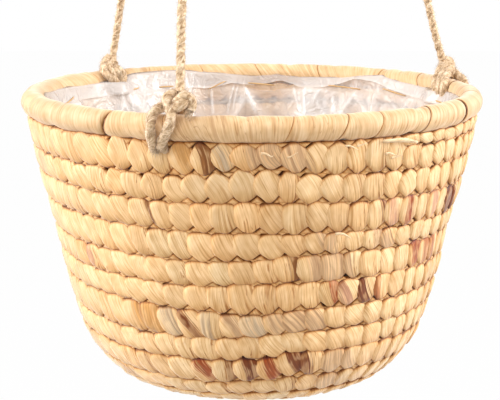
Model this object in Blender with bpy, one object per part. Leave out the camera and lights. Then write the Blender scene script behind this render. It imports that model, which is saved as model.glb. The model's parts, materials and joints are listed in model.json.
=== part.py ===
"""Hanging basket: a plaited husk braid wound into a tub, hung on three jute ropes.

Metres, +Z up. The origin is where a hook bears inside the hanging loop, and the
basket hangs below it. Angles are in degrees, counter-clockwise seen from above,
from +X; the front of the basket is at 270.
"""
import math

import bmesh
import bpy
import numpy as np
from mathutils import Matrix, Vector

# Hanging gear
HOOK_TO_RIM = 0.398          # from the hook's seat down to the top of the rim
HOOK_TO_KNOT = 0.048         # from the hook's seat down to the middle of the top knot
TOP_KNOT_RADIUS = 0.0125
LOOP_WIDTH = 0.050           # outside width of the hanging loop
ROPE_DIAMETER = 0.0055

# Rim
RIM_OUTER_RADIUS = 0.150
RIM_ROLL_RADIUS = 0.008      # of the wrapped roll
WRAP_THICKNESS = 0.0015
WRAP_EDGE_ANGLES = (205.0, 230.5, 250.5, 278.0, 290.5, 299.5, 314.0, 333.0, 352.0, 371.0,
                    390.0, 408.0, 428.0, 447.0, 465.0, 484.0, 503.0, 523.0, 544.0)

# Tub
RIM_OVERHANG = 0.0041        # of the rim past the wall under it
BODY_HEIGHT = 0.1745         # from the underside of the rim to the base
BRAID_THICKNESS = 0.011
BASE_BRAID_WIDTH = 0.0155
TAIL_WIDTH = 0.0035          # of the braid's end, tucked under the rim
TAIL_ANGLE = 306.0

# Thread, liner and its stitches
THREAD_DIAMETER = 0.0012
THREAD_DEPTH = 0.0027        # of the thread's middle behind the inner face of the braid
LINER_THICKNESS = 0.0008
LINER_CLEARANCE = 0.0008     # the film lies loosely against the wall
LINER_TOP_RISE = 0.0010      # of the liner's edge over the middle of the rim's roll
STITCH_LENGTH = 0.015
STITCH_WIDTH = 0.0016
STITCH_THICKNESS = 0.0006
STITCH_DROP = 0.0022         # down the wall to the row of stitches
# Each stitch: its angle, and its length as a share of STITCH_LENGTH
STITCHES = ((14, 1.2), (39, 1.7), (59, 2.0), (88, 0.9), (101, 1.0), (119, 0.95),
            (131, 0.75), (163, 1.1), (200, 1.1), (236, 1.2), (274, 1.1), (315, 1.2))

# Rope knots on the rim
RIM_KNOT_WIDTH = 0.0165
ROPE_END_DIP = 0.0009        # of a leaning rope's cut end below its middle

# Clearances
GAP = 0.0003                 # between pieces that touch
LOOP_CLEARANCE = 0.0007      # of a rope's loop round the rim's roll
TURN_GAP = 0.0007            # between neighbouring turns of the braid
OVERRUN = 0.004              # of a cutter past what it cuts

# Shape of the tub: (radius, depth) as shares of BODY_RADIUS and BODY_HEIGHT
OUTLINE_SHARES = ((1.0, 0.0), (0.948, 0.203), (0.891, 0.387), (0.849, 0.550),
                  (0.806, 0.692), (0.758, 0.811), (0.684, 0.905), (0.590, 0.971),
                  (0.450, 1.0), (0.200, 1.0), (0.0, 1.0))

# Depth of each seam of the winding, as a share of BODY_HEIGHT, at SEAM_ANGLES:
# the front left, the front and the front right
SEAM_ANGLES = (225.0, 270.0, 315.0)
FIRST_SEAM_SHARE = 0.039
SEAM_DEPTH_SHARES = ((0.112, 0.090, 0.124), (0.202, 0.202, 0.221), (0.303, 0.311, 0.328),
                     (0.412, 0.408, 0.402), (0.502, 0.495, 0.502), (0.588, 0.609, 0.600),
                     (0.701, 0.691, 0.684), (0.787, 0.779, 0.766), (0.882, 0.870, 0.863),
                     (0.945, 0.934, 0.940))
FACE_SHARE = 0.64            # flat part of the braid's faces, of its width

# Each rope's route from its rim knot to the top knot: its angle, its radius as a share
# of RIM_RADIUS, and its height over the rim as a share of ROPE_RISE
ROPE_ROUTES = {
    "front": ((253.2, 0.993, 0.036), (252.7, 0.958, 0.086), (251.8, 0.898, 0.171),
              (251.3, 0.796, 0.294), (251.0, 0.642, 0.451), (251.0, 0.461, 0.617),
              (251.0, 0.262, 0.789), (251.0, 0.053, 0.964)),
    "back_left": ((135.0, 1.001, 0.025), (135.0, 0.965, 0.080), (135.0, 0.904, 0.171),
                  (135.0, 0.799, 0.294), (135.0, 0.644, 0.451), (135.0, 0.463, 0.617),
                  (135.0, 0.263, 0.789), (135.0, 0.053, 0.964)),
    "right": ((23.0, 1.001, 0.030), (23.0, 0.961, 0.086), (23.0, 0.901, 0.169),
              (23.0, 0.797, 0.294), (23.0, 0.642, 0.451), (23.0, 0.462, 0.617),
              (23.0, 0.262, 0.789), (23.0, 0.053, 0.964)),
}

# Fineness of the meshes
TURN_POINTS = 24
LINER_POINTS = 11
ROLL_SIDES = 8
ROLL_STEP = 6.0              # degrees between rings of the rim's roll, at most
ROPE_STEPS = 3               # between two points of a route
LOOP_POINTS = 22
KNOT_SEGMENTS = 14
KNOT_RINGS = 8

RIM_TOP_Z = -HOOK_TO_RIM
RIM_CENTRE_Z = RIM_TOP_Z - RIM_ROLL_RADIUS
RIM_UNDER_Z = RIM_CENTRE_Z - RIM_ROLL_RADIUS * math.cos(math.pi / ROLL_SIDES) - GAP
RIM_RADIUS = RIM_OUTER_RADIUS - RIM_ROLL_RADIUS
BODY_RADIUS = RIM_OUTER_RADIUS - RIM_OVERHANG
ROPE_RISE = HOOK_TO_RIM - HOOK_TO_KNOT
KNOT_Z = -HOOK_TO_KNOT


def clear_scene():
    for thing in list(bpy.data.objects):
        bpy.data.objects.remove(thing, do_unlink=True)


def material(name, colour, roughness):
    """A plain finish, made once and shared by the pieces that carry it."""
    found = bpy.data.materials.get(name)
    if found:
        return found
    made = bpy.data.materials.new(name)
    made.use_nodes = True
    shader = made.node_tree.nodes["Principled BSDF"]
    shader.inputs["Base Color"].default_value = (*colour, 1.0)
    shader.inputs["Roughness"].default_value = roughness
    shader.inputs["Metallic"].default_value = 0.0
    return made


def husk():
    return material("husk", (0.72, 0.52, 0.28), 0.62)


def pale_husk():
    return material("pale_husk", (0.78, 0.62, 0.37), 0.55)


def jute():
    return material("jute", (0.66, 0.53, 0.38), 0.85)


def thread():
    return material("thread", (0.60, 0.46, 0.28), 0.80)


def film():
    return material("film", (0.80, 0.77, 0.74), 0.25)


def add_mesh(name, verts, faces, finish):
    """A named object from points and faces, with its faces turned outwards."""
    data = bpy.data.meshes.new(name)
    data.from_pydata([tuple(v) for v in verts], [], faces)
    body = bmesh.new()
    body.from_mesh(data)
    bmesh.ops.recalc_face_normals(body, faces=body.faces)
    body.to_mesh(data)
    body.free()
    data.materials.append(finish)
    data.shade_smooth()
    data.set_sharp_from_angle(angle=math.radians(40))
    made = bpy.data.objects.new(name, data)
    bpy.context.collection.objects.link(made)
    return made


def loft(sections, closed_along=False):
    """Points and faces of a solid through equal-sized rings of points."""
    count = len(sections[0])
    verts = [p for ring in sections for p in ring]
    faces = []
    steps = len(sections) if closed_along else len(sections) - 1
    for i in range(steps):
        here = i * count
        there = ((i + 1) % len(sections)) * count
        for j in range(count):
            k = (j + 1) % count
            faces.append((here + j, here + k, there + k, there + j))
    if not closed_along:
        faces.append(tuple(range(count)))
        last = (len(sections) - 1) * count
        faces.append(tuple(last + j for j in reversed(range(count))))
    return verts, faces


def smooth_through(points, steps):
    """Catmull-Rom curve through the given points, with steps spans between two."""
    pts = [Vector(p) for p in points]
    pts = [2 * pts[0] - pts[1], *pts, 2 * pts[-1] - pts[-2]]
    curve = []
    for a, b, c, d in zip(pts, pts[1:], pts[2:], pts[3:]):
        for i in range(steps):
            t = i / steps
            curve.append(0.5 * (2 * b + (c - a) * t + (2 * a - 5 * b + 4 * c - d) * t ** 2
                                + (3 * b - a - 3 * c + d) * t ** 3))
    curve.append(pts[-2].copy())
    return curve


def around(angle, radius, z):
    """A point by its angle in degrees, radius and height."""
    turn = math.radians(angle)
    return Vector((radius * math.cos(turn), radius * math.sin(turn), z))


class Outline:
    """The tub's outer outline, read by the distance along it from the rim."""

    def __init__(self):
        shares = smooth_through([(r, d, 0.0) for r, d in OUTLINE_SHARES], 12)
        self.radius = np.array([max(p.x, 0.0) * BODY_RADIUS for p in shares])
        self.depth = np.array([min(max(p.y, 0.0), 1.0) * BODY_HEIGHT for p in shares])
        along = np.hypot(np.diff(self.radius), np.diff(self.depth))
        self.along = np.concatenate([[0.0], np.cumsum(along)])
        self.length = float(self.along[-1])
        self.slope = (np.gradient(self.radius, self.along), np.gradient(self.depth, self.along))

    def at_depth(self, share):
        return float(np.interp(share * BODY_HEIGHT, self.depth, self.along))

    def point(self, along, inwards):
        """(radius, z) at a distance along the outline and a distance in from it."""
        radius = float(np.interp(along, self.along, self.radius))
        depth = float(np.interp(along, self.along, self.depth))
        down_r = float(np.interp(along, self.along, self.slope[0]))
        down_z = float(np.interp(along, self.along, self.slope[1]))
        size = math.hypot(down_r, down_z)
        radius -= inwards * down_z / size
        depth += inwards * down_r / size
        return radius, RIM_UNDER_Z - depth


class Winding:
    """The braid's edges: its turns counted from the tail under the rim."""

    def __init__(self, outline):
        self.outline = outline
        knots = [(0.0, TAIL_WIDTH), (self.turn_at(SEAM_ANGLES[-1], 0),
                                     outline.at_depth(FIRST_SEAM_SHARE))]
        for row, shares in enumerate(SEAM_DEPTH_SHARES):
            for angle, share in zip(SEAM_ANGLES, shares):
                turn = self.turn_at(angle, row + (angle > TAIL_ANGLE))
                knots.append((turn, outline.at_depth(share)))
        left = outline.length - knots[-1][1] - TAIL_WIDTH
        turns = max(round(left / BASE_BRAID_WIDTH), 1)
        for i in range(1, turns + 1):
            knots.append((knots[-1][0] + 1.0, knots[-1][1] + left / turns))
        self.last_turn = knots[-1][0]
        curve = smooth_through([(t, s, 0.0) for t, s in knots], 8)
        self.turns = np.array([p.x for p in curve])
        self.edges = np.array([p.y for p in curve])

    @staticmethod
    def turn_at(angle, row):
        return row + ((angle - TAIL_ANGLE) % 360.0) / 360.0

    def lower(self, turn):
        return float(np.interp(turn, self.turns, self.edges))

    def upper(self, turn):
        """The rim holds the first turn's upper edge; later ones lie on the turn above."""
        if turn >= 1.0:
            return self.lower(turn - 1.0)
        return max(0.0, 1.0 - (1.0 - turn) * TURN_POINTS) * TAIL_WIDTH

    def turn_list(self, first, last):
        count = math.ceil((last - first) * TURN_POINTS)
        return [min(first + i / TURN_POINTS, last) for i in range(count + 1)]


def coiled_braid(outline, winding):
    """One long braid, wound from the middle of the base up to the rim."""
    sections = []
    for turn in winding.turn_list(0.0, winding.last_turn):
        top = winding.upper(turn) + TURN_GAP / 2
        foot = winding.lower(turn) - TURN_GAP / 2
        middle = (top + foot) / 2
        face = FACE_SHARE * (foot - top) / 2
        places = ((middle - face, 0.0), (middle + face, 0.0), (foot, BRAID_THICKNESS / 2),
                  (middle + face, BRAID_THICKNESS), (middle - face, BRAID_THICKNESS),
                  (top, BRAID_THICKNESS / 2))
        angle = TAIL_ANGLE + 360.0 * turn
        ring = [around(angle, *outline.point(*place)) for place in places]
        for point in ring:
            point.z = min(point.z, RIM_UNDER_Z)
        sections.append(ring)
    verts, faces = loft(sections)
    return add_mesh("coiled_braid", verts, faces, husk())


def sewing_thread(outline, winding):
    """The thread that joins each turn to the next, in the groove behind the seam."""
    sections = []
    half = THREAD_DIAMETER / 2
    inwards = BRAID_THICKNESS - THREAD_DEPTH
    for turn in winding.turn_list(0.25, float(len(SEAM_DEPTH_SHARES))):
        seam = winding.lower(turn)
        places = ((seam - half, inwards + half), (seam + half, inwards + half),
                  (seam, inwards - half))
        angle = TAIL_ANGLE + 360.0 * turn
        sections.append([around(angle, *outline.point(*place)) for place in places])
    verts, faces = loft(sections)
    return add_mesh("sewing_thread", verts, faces, thread())


def least_gap_between_turns(outline, winding):
    """The least gap between neighbouring turns of the braid, measured on its edges."""
    gaps = []
    for turn in winding.turn_list(0.0, winding.last_turn - 1.0):
        foot = winding.lower(turn) - TURN_GAP / 2
        top = winding.upper(turn + 1.0) + TURN_GAP / 2
        here = outline.point(foot, BRAID_THICKNESS / 2)
        there = outline.point(top, BRAID_THICKNESS / 2)
        gaps.append(math.dist(here, there))
    return min(gaps)


def roll_ring(angle, radius, sides):
    """A ring of points round the rim's roll, in the plane at one angle."""
    ring = []
    for i in range(sides):
        tilt = 2 * math.pi * (i + 0.5) / sides
        out = RIM_RADIUS + radius * math.cos(tilt)
        ring.append(around(angle, out, RIM_CENTRE_Z + radius * math.sin(tilt)))
    return ring


def rim_hoop():
    """The hoop of bundled husk that the strips of the rim are wrapped round."""
    radius = RIM_ROLL_RADIUS - WRAP_THICKNESS - GAP
    rings = []
    for start, stop in wrap_spans():
        rings += [roll_ring(a, radius, ROLL_SIDES) for a in spaced(start, stop)[:-1]]
    verts, faces = loft(rings, closed_along=True)
    return add_mesh("rim_hoop", verts, faces, husk())


def wrap_spans():
    """Start and stop angle of each wrapped strip, edge to edge round the rim."""
    first = WRAP_EDGE_ANGLES[0] + 360.0
    return list(zip(WRAP_EDGE_ANGLES, (*WRAP_EDGE_ANGLES[1:], first)))


def spaced(start, stop):
    count = math.ceil((stop - start) / ROLL_STEP)
    return [start + (stop - start) * i / count for i in range(count + 1)]


def rim_wraps():
    """Broad husk strips, each wrapped once round its stretch of the hoop."""
    margin = math.degrees(GAP / RIM_RADIUS)
    wraps = []
    for index, (start, stop) in enumerate(wrap_spans()):
        angles = spaced(start, stop)
        angles[0] += margin
        angles[-1] -= margin
        rings = [roll_ring(a, RIM_ROLL_RADIUS, ROLL_SIDES) for a in angles]
        rings += [roll_ring(a, RIM_ROLL_RADIUS - WRAP_THICKNESS, ROLL_SIDES)
                  for a in reversed(angles)]
        verts, faces = loft(rings, closed_along=True)
        wraps.append(add_mesh(f"rim_wrap_{index + 1:02d}", verts, faces, pale_husk()))
    return wraps


def liner_profile(outline, depth):
    """(radius, z) down a face of the liner, which lies this depth in from its outer face."""
    edge = (RIM_RADIUS - RIM_ROLL_RADIUS - LINER_CLEARANCE - depth,
            RIM_CENTRE_Z + LINER_TOP_RISE)
    inwards = BRAID_THICKNESS + LINER_CLEARANCE + depth
    stops = [outline.length * i / LINER_POINTS for i in range(LINER_POINTS)]
    return [edge, *(outline.point(s, inwards) for s in stops)]


def plastic_liner(outline):
    """The polythene film inside the tub, as a thin shell open at the top."""
    outer = liner_profile(outline, 0.0)
    inner = liner_profile(outline, LINER_THICKNESS)
    profile = outer + list(reversed(inner))
    count = TURN_POINTS
    rings = []
    for i in range(count):
        angle = TAIL_ANGLE + 360.0 * i / count
        rings.append([around(angle, r, z) for r, z in profile])
    verts, faces = loft(rings, closed_along=True)
    verts, faces = close_middle(verts, faces, rings, len(outer))
    return add_mesh("plastic_liner", verts, faces, film())


def close_middle(verts, faces, rings, outer_count):
    """Turns the band across the middle of the base into two caps."""
    size = len(rings[0])
    low, high = outer_count - 1, outer_count
    kept = []
    for face in faces:
        places = {index % size for index in face}
        if places != {low, high}:
            kept.append(face)
    kept.append(tuple(i * size + low for i in range(len(rings))))
    kept.append(tuple(i * size + high for i in reversed(range(len(rings)))))
    return verts, kept


def liner_stitches(outline):
    """The raffia's running stitches, which hold the film's edge to the wall."""
    clearance = BRAID_THICKNESS + LINER_CLEARANCE + LINER_THICKNESS + GAP
    half = STITCH_WIDTH / 2
    places = ((clearance, -half), (clearance, half), (clearance + STITCH_THICKNESS, half),
              (clearance + STITCH_THICKNESS, -half))
    for index, (angle, length_share) in enumerate(STITCHES):
        spread = math.degrees(STITCH_LENGTH * length_share / RIM_RADIUS) / 2
        rings = []
        for turn in stitch_angles(angle, spread):
            ring = []
            for inwards, drop in places:
                radius, z = outline.point(STITCH_DROP + drop, inwards)
                ring.append(around(turn, radius * liner_chord(turn), z))
            rings.append(ring)
        verts, faces = loft(rings)
        add_mesh(f"liner_stitch_{index + 1:02d}", verts, faces, thread())


def stitch_angles(angle, spread):
    """A stitch's ends, and the corner of the liner between them if there is one."""
    step = 360.0 / TURN_POINTS
    corner = TAIL_ANGLE + step * round((angle - TAIL_ANGLE) / step)
    inner = [corner] if abs(corner - angle) < 0.8 * spread else []
    return [angle - spread, *inner, angle + spread]


def liner_chord(angle):
    """How far in the liner's flat face lies at an angle, as a share of its radius."""
    step = 360.0 / TURN_POINTS
    off = (angle - TAIL_ANGLE) % step - step / 2
    return math.cos(math.radians(step / 2)) / math.cos(math.radians(off))


def tube(name, points, diameter, finish):
    """A round cord along a smooth run of points, closed at both ends."""
    data = bpy.data.curves.new(name, "CURVE")
    data.dimensions = "3D"
    data.bevel_depth = diameter / 2
    data.bevel_resolution = 2
    data.use_fill_caps = True
    run = data.splines.new("POLY")
    run.points.add(len(points) - 1)
    for place, point in zip(run.points, points):
        place.co = (*point, 1.0)
    data.materials.append(finish)
    made = bpy.data.objects.new(name, data)
    bpy.context.collection.objects.link(made)
    return made


def rope(side):
    """One rope, from its knot on the rim up to the top knot."""
    points = [around(angle, r * RIM_RADIUS, RIM_TOP_Z + z * ROPE_RISE)
              for angle, r, z in ROPE_ROUTES[side]]
    centre = Vector((0.0, 0.0, KNOT_Z))
    towards = (points[-1] - centre).normalized()
    points[-1] = centre + towards * (TOP_KNOT_RADIUS + GAP)
    return tube(f"rope_{side}", smooth_through(points, ROPE_STEPS), ROPE_DIAMETER, jute())


def ball(name, centre, size, finish):
    """A rounded lump, closed, with its three widths given."""
    body = bmesh.new()
    bmesh.ops.create_uvsphere(body, u_segments=KNOT_SEGMENTS, v_segments=KNOT_RINGS, radius=1.0)
    half = [width / 2 for width in size]
    bmesh.ops.transform(body, matrix=Matrix.Diagonal((*half, 1.0)), verts=body.verts)
    data = bpy.data.meshes.new(name)
    body.to_mesh(data)
    body.free()
    data.materials.append(finish)
    data.shade_smooth()
    made = bpy.data.objects.new(name, data)
    made.location = centre
    bpy.context.collection.objects.link(made)
    return made


def top_knot():
    """The knot that gathers the three ropes; its middle is where the basket swings."""
    width = 2 * TOP_KNOT_RADIUS
    return ball("top_knot", (0.0, 0.0, KNOT_Z), (width, width, width), jute())


def hanging_loop():
    """The loop of rope over the top knot, with the hook's seat at the origin."""
    half_rope = ROPE_DIAMETER / 2
    foot = TOP_KNOT_RADIUS + GAP
    lean = math.radians(28)
    bottom = Vector((foot * math.sin(lean), 0.0, KNOT_Z + foot * math.cos(lean)))
    half_width = LOOP_WIDTH / 2 - half_rope
    top_z = half_rope
    wide_z = -half_width
    right = [bottom, bottom + (bottom - Vector((0.0, 0.0, KNOT_Z))).normalized() * ROPE_DIAMETER,
             Vector((half_width, 0.0, wide_z)),
             Vector((half_width * math.sin(math.radians(50)), 0.0,
                     wide_z + (top_z - wide_z) * math.cos(math.radians(50))))]
    left = [Vector((-p.x, 0.0, p.z)) for p in reversed(right)]
    points = right + [Vector((0.0, 0.0, top_z))] + left
    steps = max(LOOP_POINTS // (len(points) - 1), 1)
    return tube("hanging_loop", smooth_through(points, steps), ROPE_DIAMETER, jute())


def rim_loop(name, angle, thickness):
    """A ring of rope round the rim's roll, through the wall just under it."""
    body = bmesh.new()
    radius = RIM_ROLL_RADIUS + LOOP_CLEARANCE + ROPE_DIAMETER / 2
    rings = []
    for i in range(KNOT_SEGMENTS):
        turn = 2 * math.pi * i / KNOT_SEGMENTS
        ring = []
        for j in range(ROLL_SIDES):
            side = 2 * math.pi * j / ROLL_SIDES
            reach = radius + thickness / 2 * math.cos(side)
            ring.append(body.verts.new((RIM_RADIUS + reach * math.cos(turn),
                                        thickness / 2 * math.sin(side),
                                        RIM_CENTRE_Z + reach * math.sin(turn))))
        rings.append(ring)
    for i, ring in enumerate(rings):
        following = rings[(i + 1) % len(rings)]
        for j in range(ROLL_SIDES):
            k = (j + 1) % ROLL_SIDES
            body.faces.new((ring[j], ring[k], following[k], following[j]))
    bmesh.ops.rotate(body, verts=body.verts, cent=(0.0, 0.0, 0.0),
                     matrix=Matrix.Rotation(math.radians(angle), 3, "Z"))
    bmesh.ops.recalc_face_normals(body, faces=body.faces)
    data = bpy.data.meshes.new(name)
    body.to_mesh(data)
    body.free()
    data.materials.append(jute())
    data.shade_smooth()
    made = bpy.data.objects.new(name, data)
    bpy.context.collection.objects.link(made)
    return made


def guide(thing):
    """Marks a cutter or a joined-in shape, which isn't a piece of its own."""
    thing.hide_render = True
    thing.display_type = "WIRE"


def boolean(thing, other, operation):
    change = thing.modifiers.new(other.name, "BOOLEAN")
    change.operation = operation
    change.object = other
    change.solver = "EXACT"


def rim_knot(side):
    """A rope's knot on top of the rim, with its loop through the wall."""
    angle, _, foot_height = ROPE_ROUTES[side][0]
    name = f"rim_knot_{side}"
    knot = rim_loop(name, angle, ROPE_DIAMETER)
    height = foot_height * ROPE_RISE - 2 * GAP - ROPE_END_DIP
    centre = around(angle, RIM_RADIUS, RIM_TOP_Z + GAP + height / 2)
    lump = ball(f"{name}_lump", centre, (RIM_KNOT_WIDTH, RIM_KNOT_WIDTH, height), jute())
    lump.rotation_euler.z = math.radians(angle)
    guide(lump)
    boolean(knot, lump, "UNION")
    return knot


def rope_slot(side):
    """A slot down from the liner's edge, for a rope's loop to pass through the wall."""
    angle = ROPE_ROUTES[side][0][0]
    top = RIM_TOP_Z + OVERRUN
    foot = RIM_CENTRE_Z - RIM_ROLL_RADIUS - LOOP_CLEARANCE - ROPE_DIAMETER - GAP
    depth = 2 * (BRAID_THICKNESS + OVERRUN)
    size = (depth, ROPE_DIAMETER + 2 * GAP, top - foot)
    body = bmesh.new()
    bmesh.ops.create_cube(body, size=1.0)
    bmesh.ops.transform(body, matrix=Matrix.Diagonal((*size, 1.0)), verts=body.verts)
    data = bpy.data.meshes.new(f"slot_{side}")
    body.to_mesh(data)
    body.free()
    made = bpy.data.objects.new(f"slot_{side}", data)
    made.location = around(angle, RIM_RADIUS, (top + foot) / 2)
    made.rotation_euler.z = math.radians(angle)
    bpy.context.collection.objects.link(made)
    return made


def rope_slots(things):
    """Cuts the way of each rope's loop through the pieces under the rim."""
    for side in ROPE_ROUTES:
        cutter = rope_slot(side)
        guide(cutter)
        for thing in things:
            boolean(thing, cutter, "DIFFERENCE")


def build():
    clear_scene()
    outline = Outline()
    winding = Winding(outline)
    braid = coiled_braid(outline, winding)
    sewing_thread(outline, winding)
    rim_hoop()
    rim_wraps()
    liner = plastic_liner(outline)
    liner_stitches(outline)
    rope_slots([braid, liner])
    for side in ROPE_ROUTES:
        rim_knot(side)
        rope(side)
    top_knot()
    hanging_loop()
    gap = least_gap_between_turns(outline, winding)
    print(f"turns of the braid: {winding.last_turn:.2f}")
    print(f"least gap between its turns: {gap * 1000:.2f} mm")


build()
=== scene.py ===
"""Hanging basket of plaited husk on three jute ropes: the finish of every piece.

Metres, +Z up. The origin is the hook's seat in the hanging loop. Angles are in
degrees, counter-clockwise seen from above, and the front of the basket is at 270.
"""
import json
import math
import random

import bmesh
import bpy
import numpy as np
from mathutils import Matrix, Vector, noise

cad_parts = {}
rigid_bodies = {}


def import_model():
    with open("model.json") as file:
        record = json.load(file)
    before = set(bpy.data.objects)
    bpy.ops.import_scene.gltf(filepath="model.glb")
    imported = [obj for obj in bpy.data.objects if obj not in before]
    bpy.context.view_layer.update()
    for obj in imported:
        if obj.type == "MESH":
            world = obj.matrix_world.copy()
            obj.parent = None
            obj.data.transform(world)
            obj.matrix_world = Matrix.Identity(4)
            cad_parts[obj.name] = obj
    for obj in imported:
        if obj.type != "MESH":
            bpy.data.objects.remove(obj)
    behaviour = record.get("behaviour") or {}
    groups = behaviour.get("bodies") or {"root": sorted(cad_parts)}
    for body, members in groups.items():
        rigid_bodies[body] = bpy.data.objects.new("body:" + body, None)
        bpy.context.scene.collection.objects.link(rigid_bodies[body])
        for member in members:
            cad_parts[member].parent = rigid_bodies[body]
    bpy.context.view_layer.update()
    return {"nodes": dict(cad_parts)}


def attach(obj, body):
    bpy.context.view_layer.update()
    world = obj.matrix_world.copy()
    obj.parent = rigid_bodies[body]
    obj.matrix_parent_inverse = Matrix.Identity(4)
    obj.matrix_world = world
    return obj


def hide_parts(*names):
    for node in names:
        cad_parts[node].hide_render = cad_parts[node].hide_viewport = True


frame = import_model()


# The tub: one plaited husk braid, wound from the middle of the base up to the rim.
# Each crossing of the plait shows as a soft six-sided lobe of folded husk, and the
# strands behind it show as small triangles where two rows meet.

RIM_TOP_Z = -0.398
RIM_ROLL_RADIUS = 0.008
RIM_RADIUS = 0.142
RIM_CENTRE_Z = RIM_TOP_Z - RIM_ROLL_RADIUS
ROLL_SIDES = 8               # of the solid roll's section
ROLL_GAP = 0.0003            # between the roll and the first row
RIM_UNDER_Z = RIM_CENTRE_Z - RIM_ROLL_RADIUS * math.cos(math.pi / ROLL_SIDES) - ROLL_GAP

BODY_RADIUS = 0.1459
BODY_HEIGHT = 0.1745
BRAID_THICKNESS = 0.011
BASE_BRAID_WIDTH = 0.0155
TAIL_WIDTH = 0.0035
TAIL_ANGLE = 306.0
# The wall's outline from the rim to the base's middle: radius and depth
OUTLINE_SHARES = ((1.0, 0.0), (0.948, 0.203), (0.891, 0.387), (0.849, 0.550),
                  (0.806, 0.692), (0.758, 0.811), (0.684, 0.905), (0.590, 0.971),
                  (0.450, 1.0), (0.200, 1.0), (0.0, 1.0))
OUTLINE_STEPS, SEAM_STEPS = 12, 8
SEAM_ANGLES = (225.0, 270.0, 315.0)
FIRST_SEAM_SHARE = 0.039
# Depth of each seam under the first row at the three angles
SEAM_DEPTH_SHARES = ((0.112, 0.090, 0.124), (0.202, 0.202, 0.221), (0.303, 0.311, 0.328),
                     (0.412, 0.408, 0.402), (0.502, 0.495, 0.502), (0.588, 0.609, 0.600),
                     (0.701, 0.691, 0.684), (0.787, 0.779, 0.766), (0.882, 0.870, 0.863),
                     (0.945, 0.934, 0.940))

FIRST_LOBE_TURN = 0.012
CURLED_TURNS = 0.72          # of the last lobes, into the middle of the base
LEAST_RADIUS = 0.004         # of a turn of the braid, for a lobe's width
NARROW_ROW = 0.0100          # below this width a row shows no triangles
LOBE_PITCH = 0.0131
LOBE_WANDER = 0.00035        # up and down its row
LOBE_RISE = 0.0033
INNER_RISE = 0.0030
INNER_HEIGHT = 0.98          # of the row's
LOBE_OVERLAP = 1.50          # of a lobe's width over its pitch
LOBE_GRAIN = (0.013, 0.016)  # a lobe's width and height on its grain's UV
BED_INSET = 0.0024           # of the strands behind the lobes
INNER_INSET = 0.0076
NOTCH_RISE = 0.0019
NOTCH_TUCK = 0.0006          # of a triangle's base, under the next row
LOBE_SWING = 2.6             # in degrees, of how unevenly the lobes stand
# A lobe's form, as shares of its own width, height and rise
LOBE_WAIST = 0.20            # of its half height, over which it keeps its full width
SIDE_DROP = 0.19             # by which its sides are shorter than its middle
FOLD_WIDTH = 0.15
DENT_DEPTH = 0.16
OUTLINE_WAVES = (0.045, 0.040)
SIDE_FALL, BOTH_SIDES_FALL = 0.25, 0.06   # of the side that its neighbour covers, and of both

STRAW = (0.80, 0.528, 0.265)
# The seams' brown, which also stands for the painted shade deep in them
SEAM_BROWN_AND_SHADE = (0.30, 0.15, 0.060)
RUST = (0.36, 0.080, 0.016)
RUSSET = (0.47, 0.175, 0.060)
PLUM = (0.200, 0.050, 0.010)
BROWN = (0.27, 0.105, 0.028)
ORANGE = (0.60, 0.320, 0.110)
PINK = (0.60, 0.325, 0.195)
TAN = (0.66, 0.430, 0.240)
GREY = (0.61, 0.455, 0.295)

# Husks of another colour in the plait: row from the top, first and last angle, colour
HUSK_STAINS = (
    (1, 253.0, 256.8, ORANGE), (1, 258.4, 261.6, BROWN), (1, 262.2, 264.5, GREY),
    (1, 264.8, 268.3, ORANGE), (1, 268.6, 283.0, TAN),
    (2, 201.0, 206.0, TAN), (2, 60.0, 63.5, BROWN),
    (3, 304.4, 306.4, PLUM), (3, 306.4, 309.4, PINK), (3, 312.4, 315.0, RUST),
    (3, 324.0, 327.5, PINK), (3, 332.0, 341.0, PLUM), (3, 243.8, 245.0, BROWN),
    (3, 170.0, 178.0, RUST),
    (4, 287.0, 292.0, TAN), (4, 303.0, 309.0, TAN), (4, 95.0, 112.0, TAN),
    (5, 217.6, 220.4, PINK), (5, 277.8, 279.4, BROWN), (5, 280.4, 282.4, BROWN),
    (5, 282.6, 284.8, GREY), (5, 285.0, 297.0, TAN), (5, 320.0, 325.8, RUST),
    (5, 325.8, 333.5, RUSSET), (5, 44.0, 49.0, PLUM),
    (6, 291.6, 294.8, RUST), (6, 294.8, 298.2, PINK), (6, 298.2, 304.0, PLUM),
    (6, 304.0, 308.6, RUSSET), (6, 140.0, 150.0, TAN), (6, 152.0, 155.0, PLUM),
    (7, 234.0, 243.6, ORANGE), (7, 244.0, 247.4, GREY), (7, 249.4, 251.0, ORANGE),
    (7, 251.0, 253.4, PLUM), (7, 253.4, 254.8, ORANGE), (7, 255.0, 257.6, GREY),
    (7, 257.6, 259.6, TAN), (7, 259.6, 263.2, GREY), (7, 263.2, 266.6, TAN),
    (7, 266.8, 274.0, GREY), (7, 275.0, 291.0, TAN),
    (8, 20.0, 34.0, ORANGE), (8, 118.0, 126.0, GREY),
    (9, 253.8, 257.6, RUST), (9, 262.0, 267.0, BROWN), (9, 267.6, 274.2, PLUM),
    (9, 274.2, 278.0, RUST), (9, 278.0, 281.8, GREY), (9, 281.8, 288.6, PLUM),
    (9, 288.6, 290.8, PINK), (9, 290.8, 304.0, TAN),
    (10, 292.0, 303.0, TAN), (10, 214.0, 221.0, ORANGE),
    (12, 30.0, 75.0, TAN), (13, 200.0, 250.0, TAN),
)
LEAST_STAIN = 0.06           # of a crossing's width, for its stain to show


def smooth_through(points, steps):
    """Catmull-Rom curve through the given points, with steps spans between two."""
    pts = [Vector(p) for p in points]
    pts = [2 * pts[0] - pts[1], *pts, 2 * pts[-1] - pts[-2]]
    curve = []
    for a, b, c, d in zip(pts, pts[1:], pts[2:], pts[3:]):
        for i in range(steps):
            t = i / steps
            curve.append(0.5 * (2 * b + (c - a) * t + (2 * a - 5 * b + 4 * c - d) * t ** 2
                                + (3 * b - a - 3 * c + d) * t ** 3))
    curve.append(pts[-2].copy())
    return curve


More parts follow.
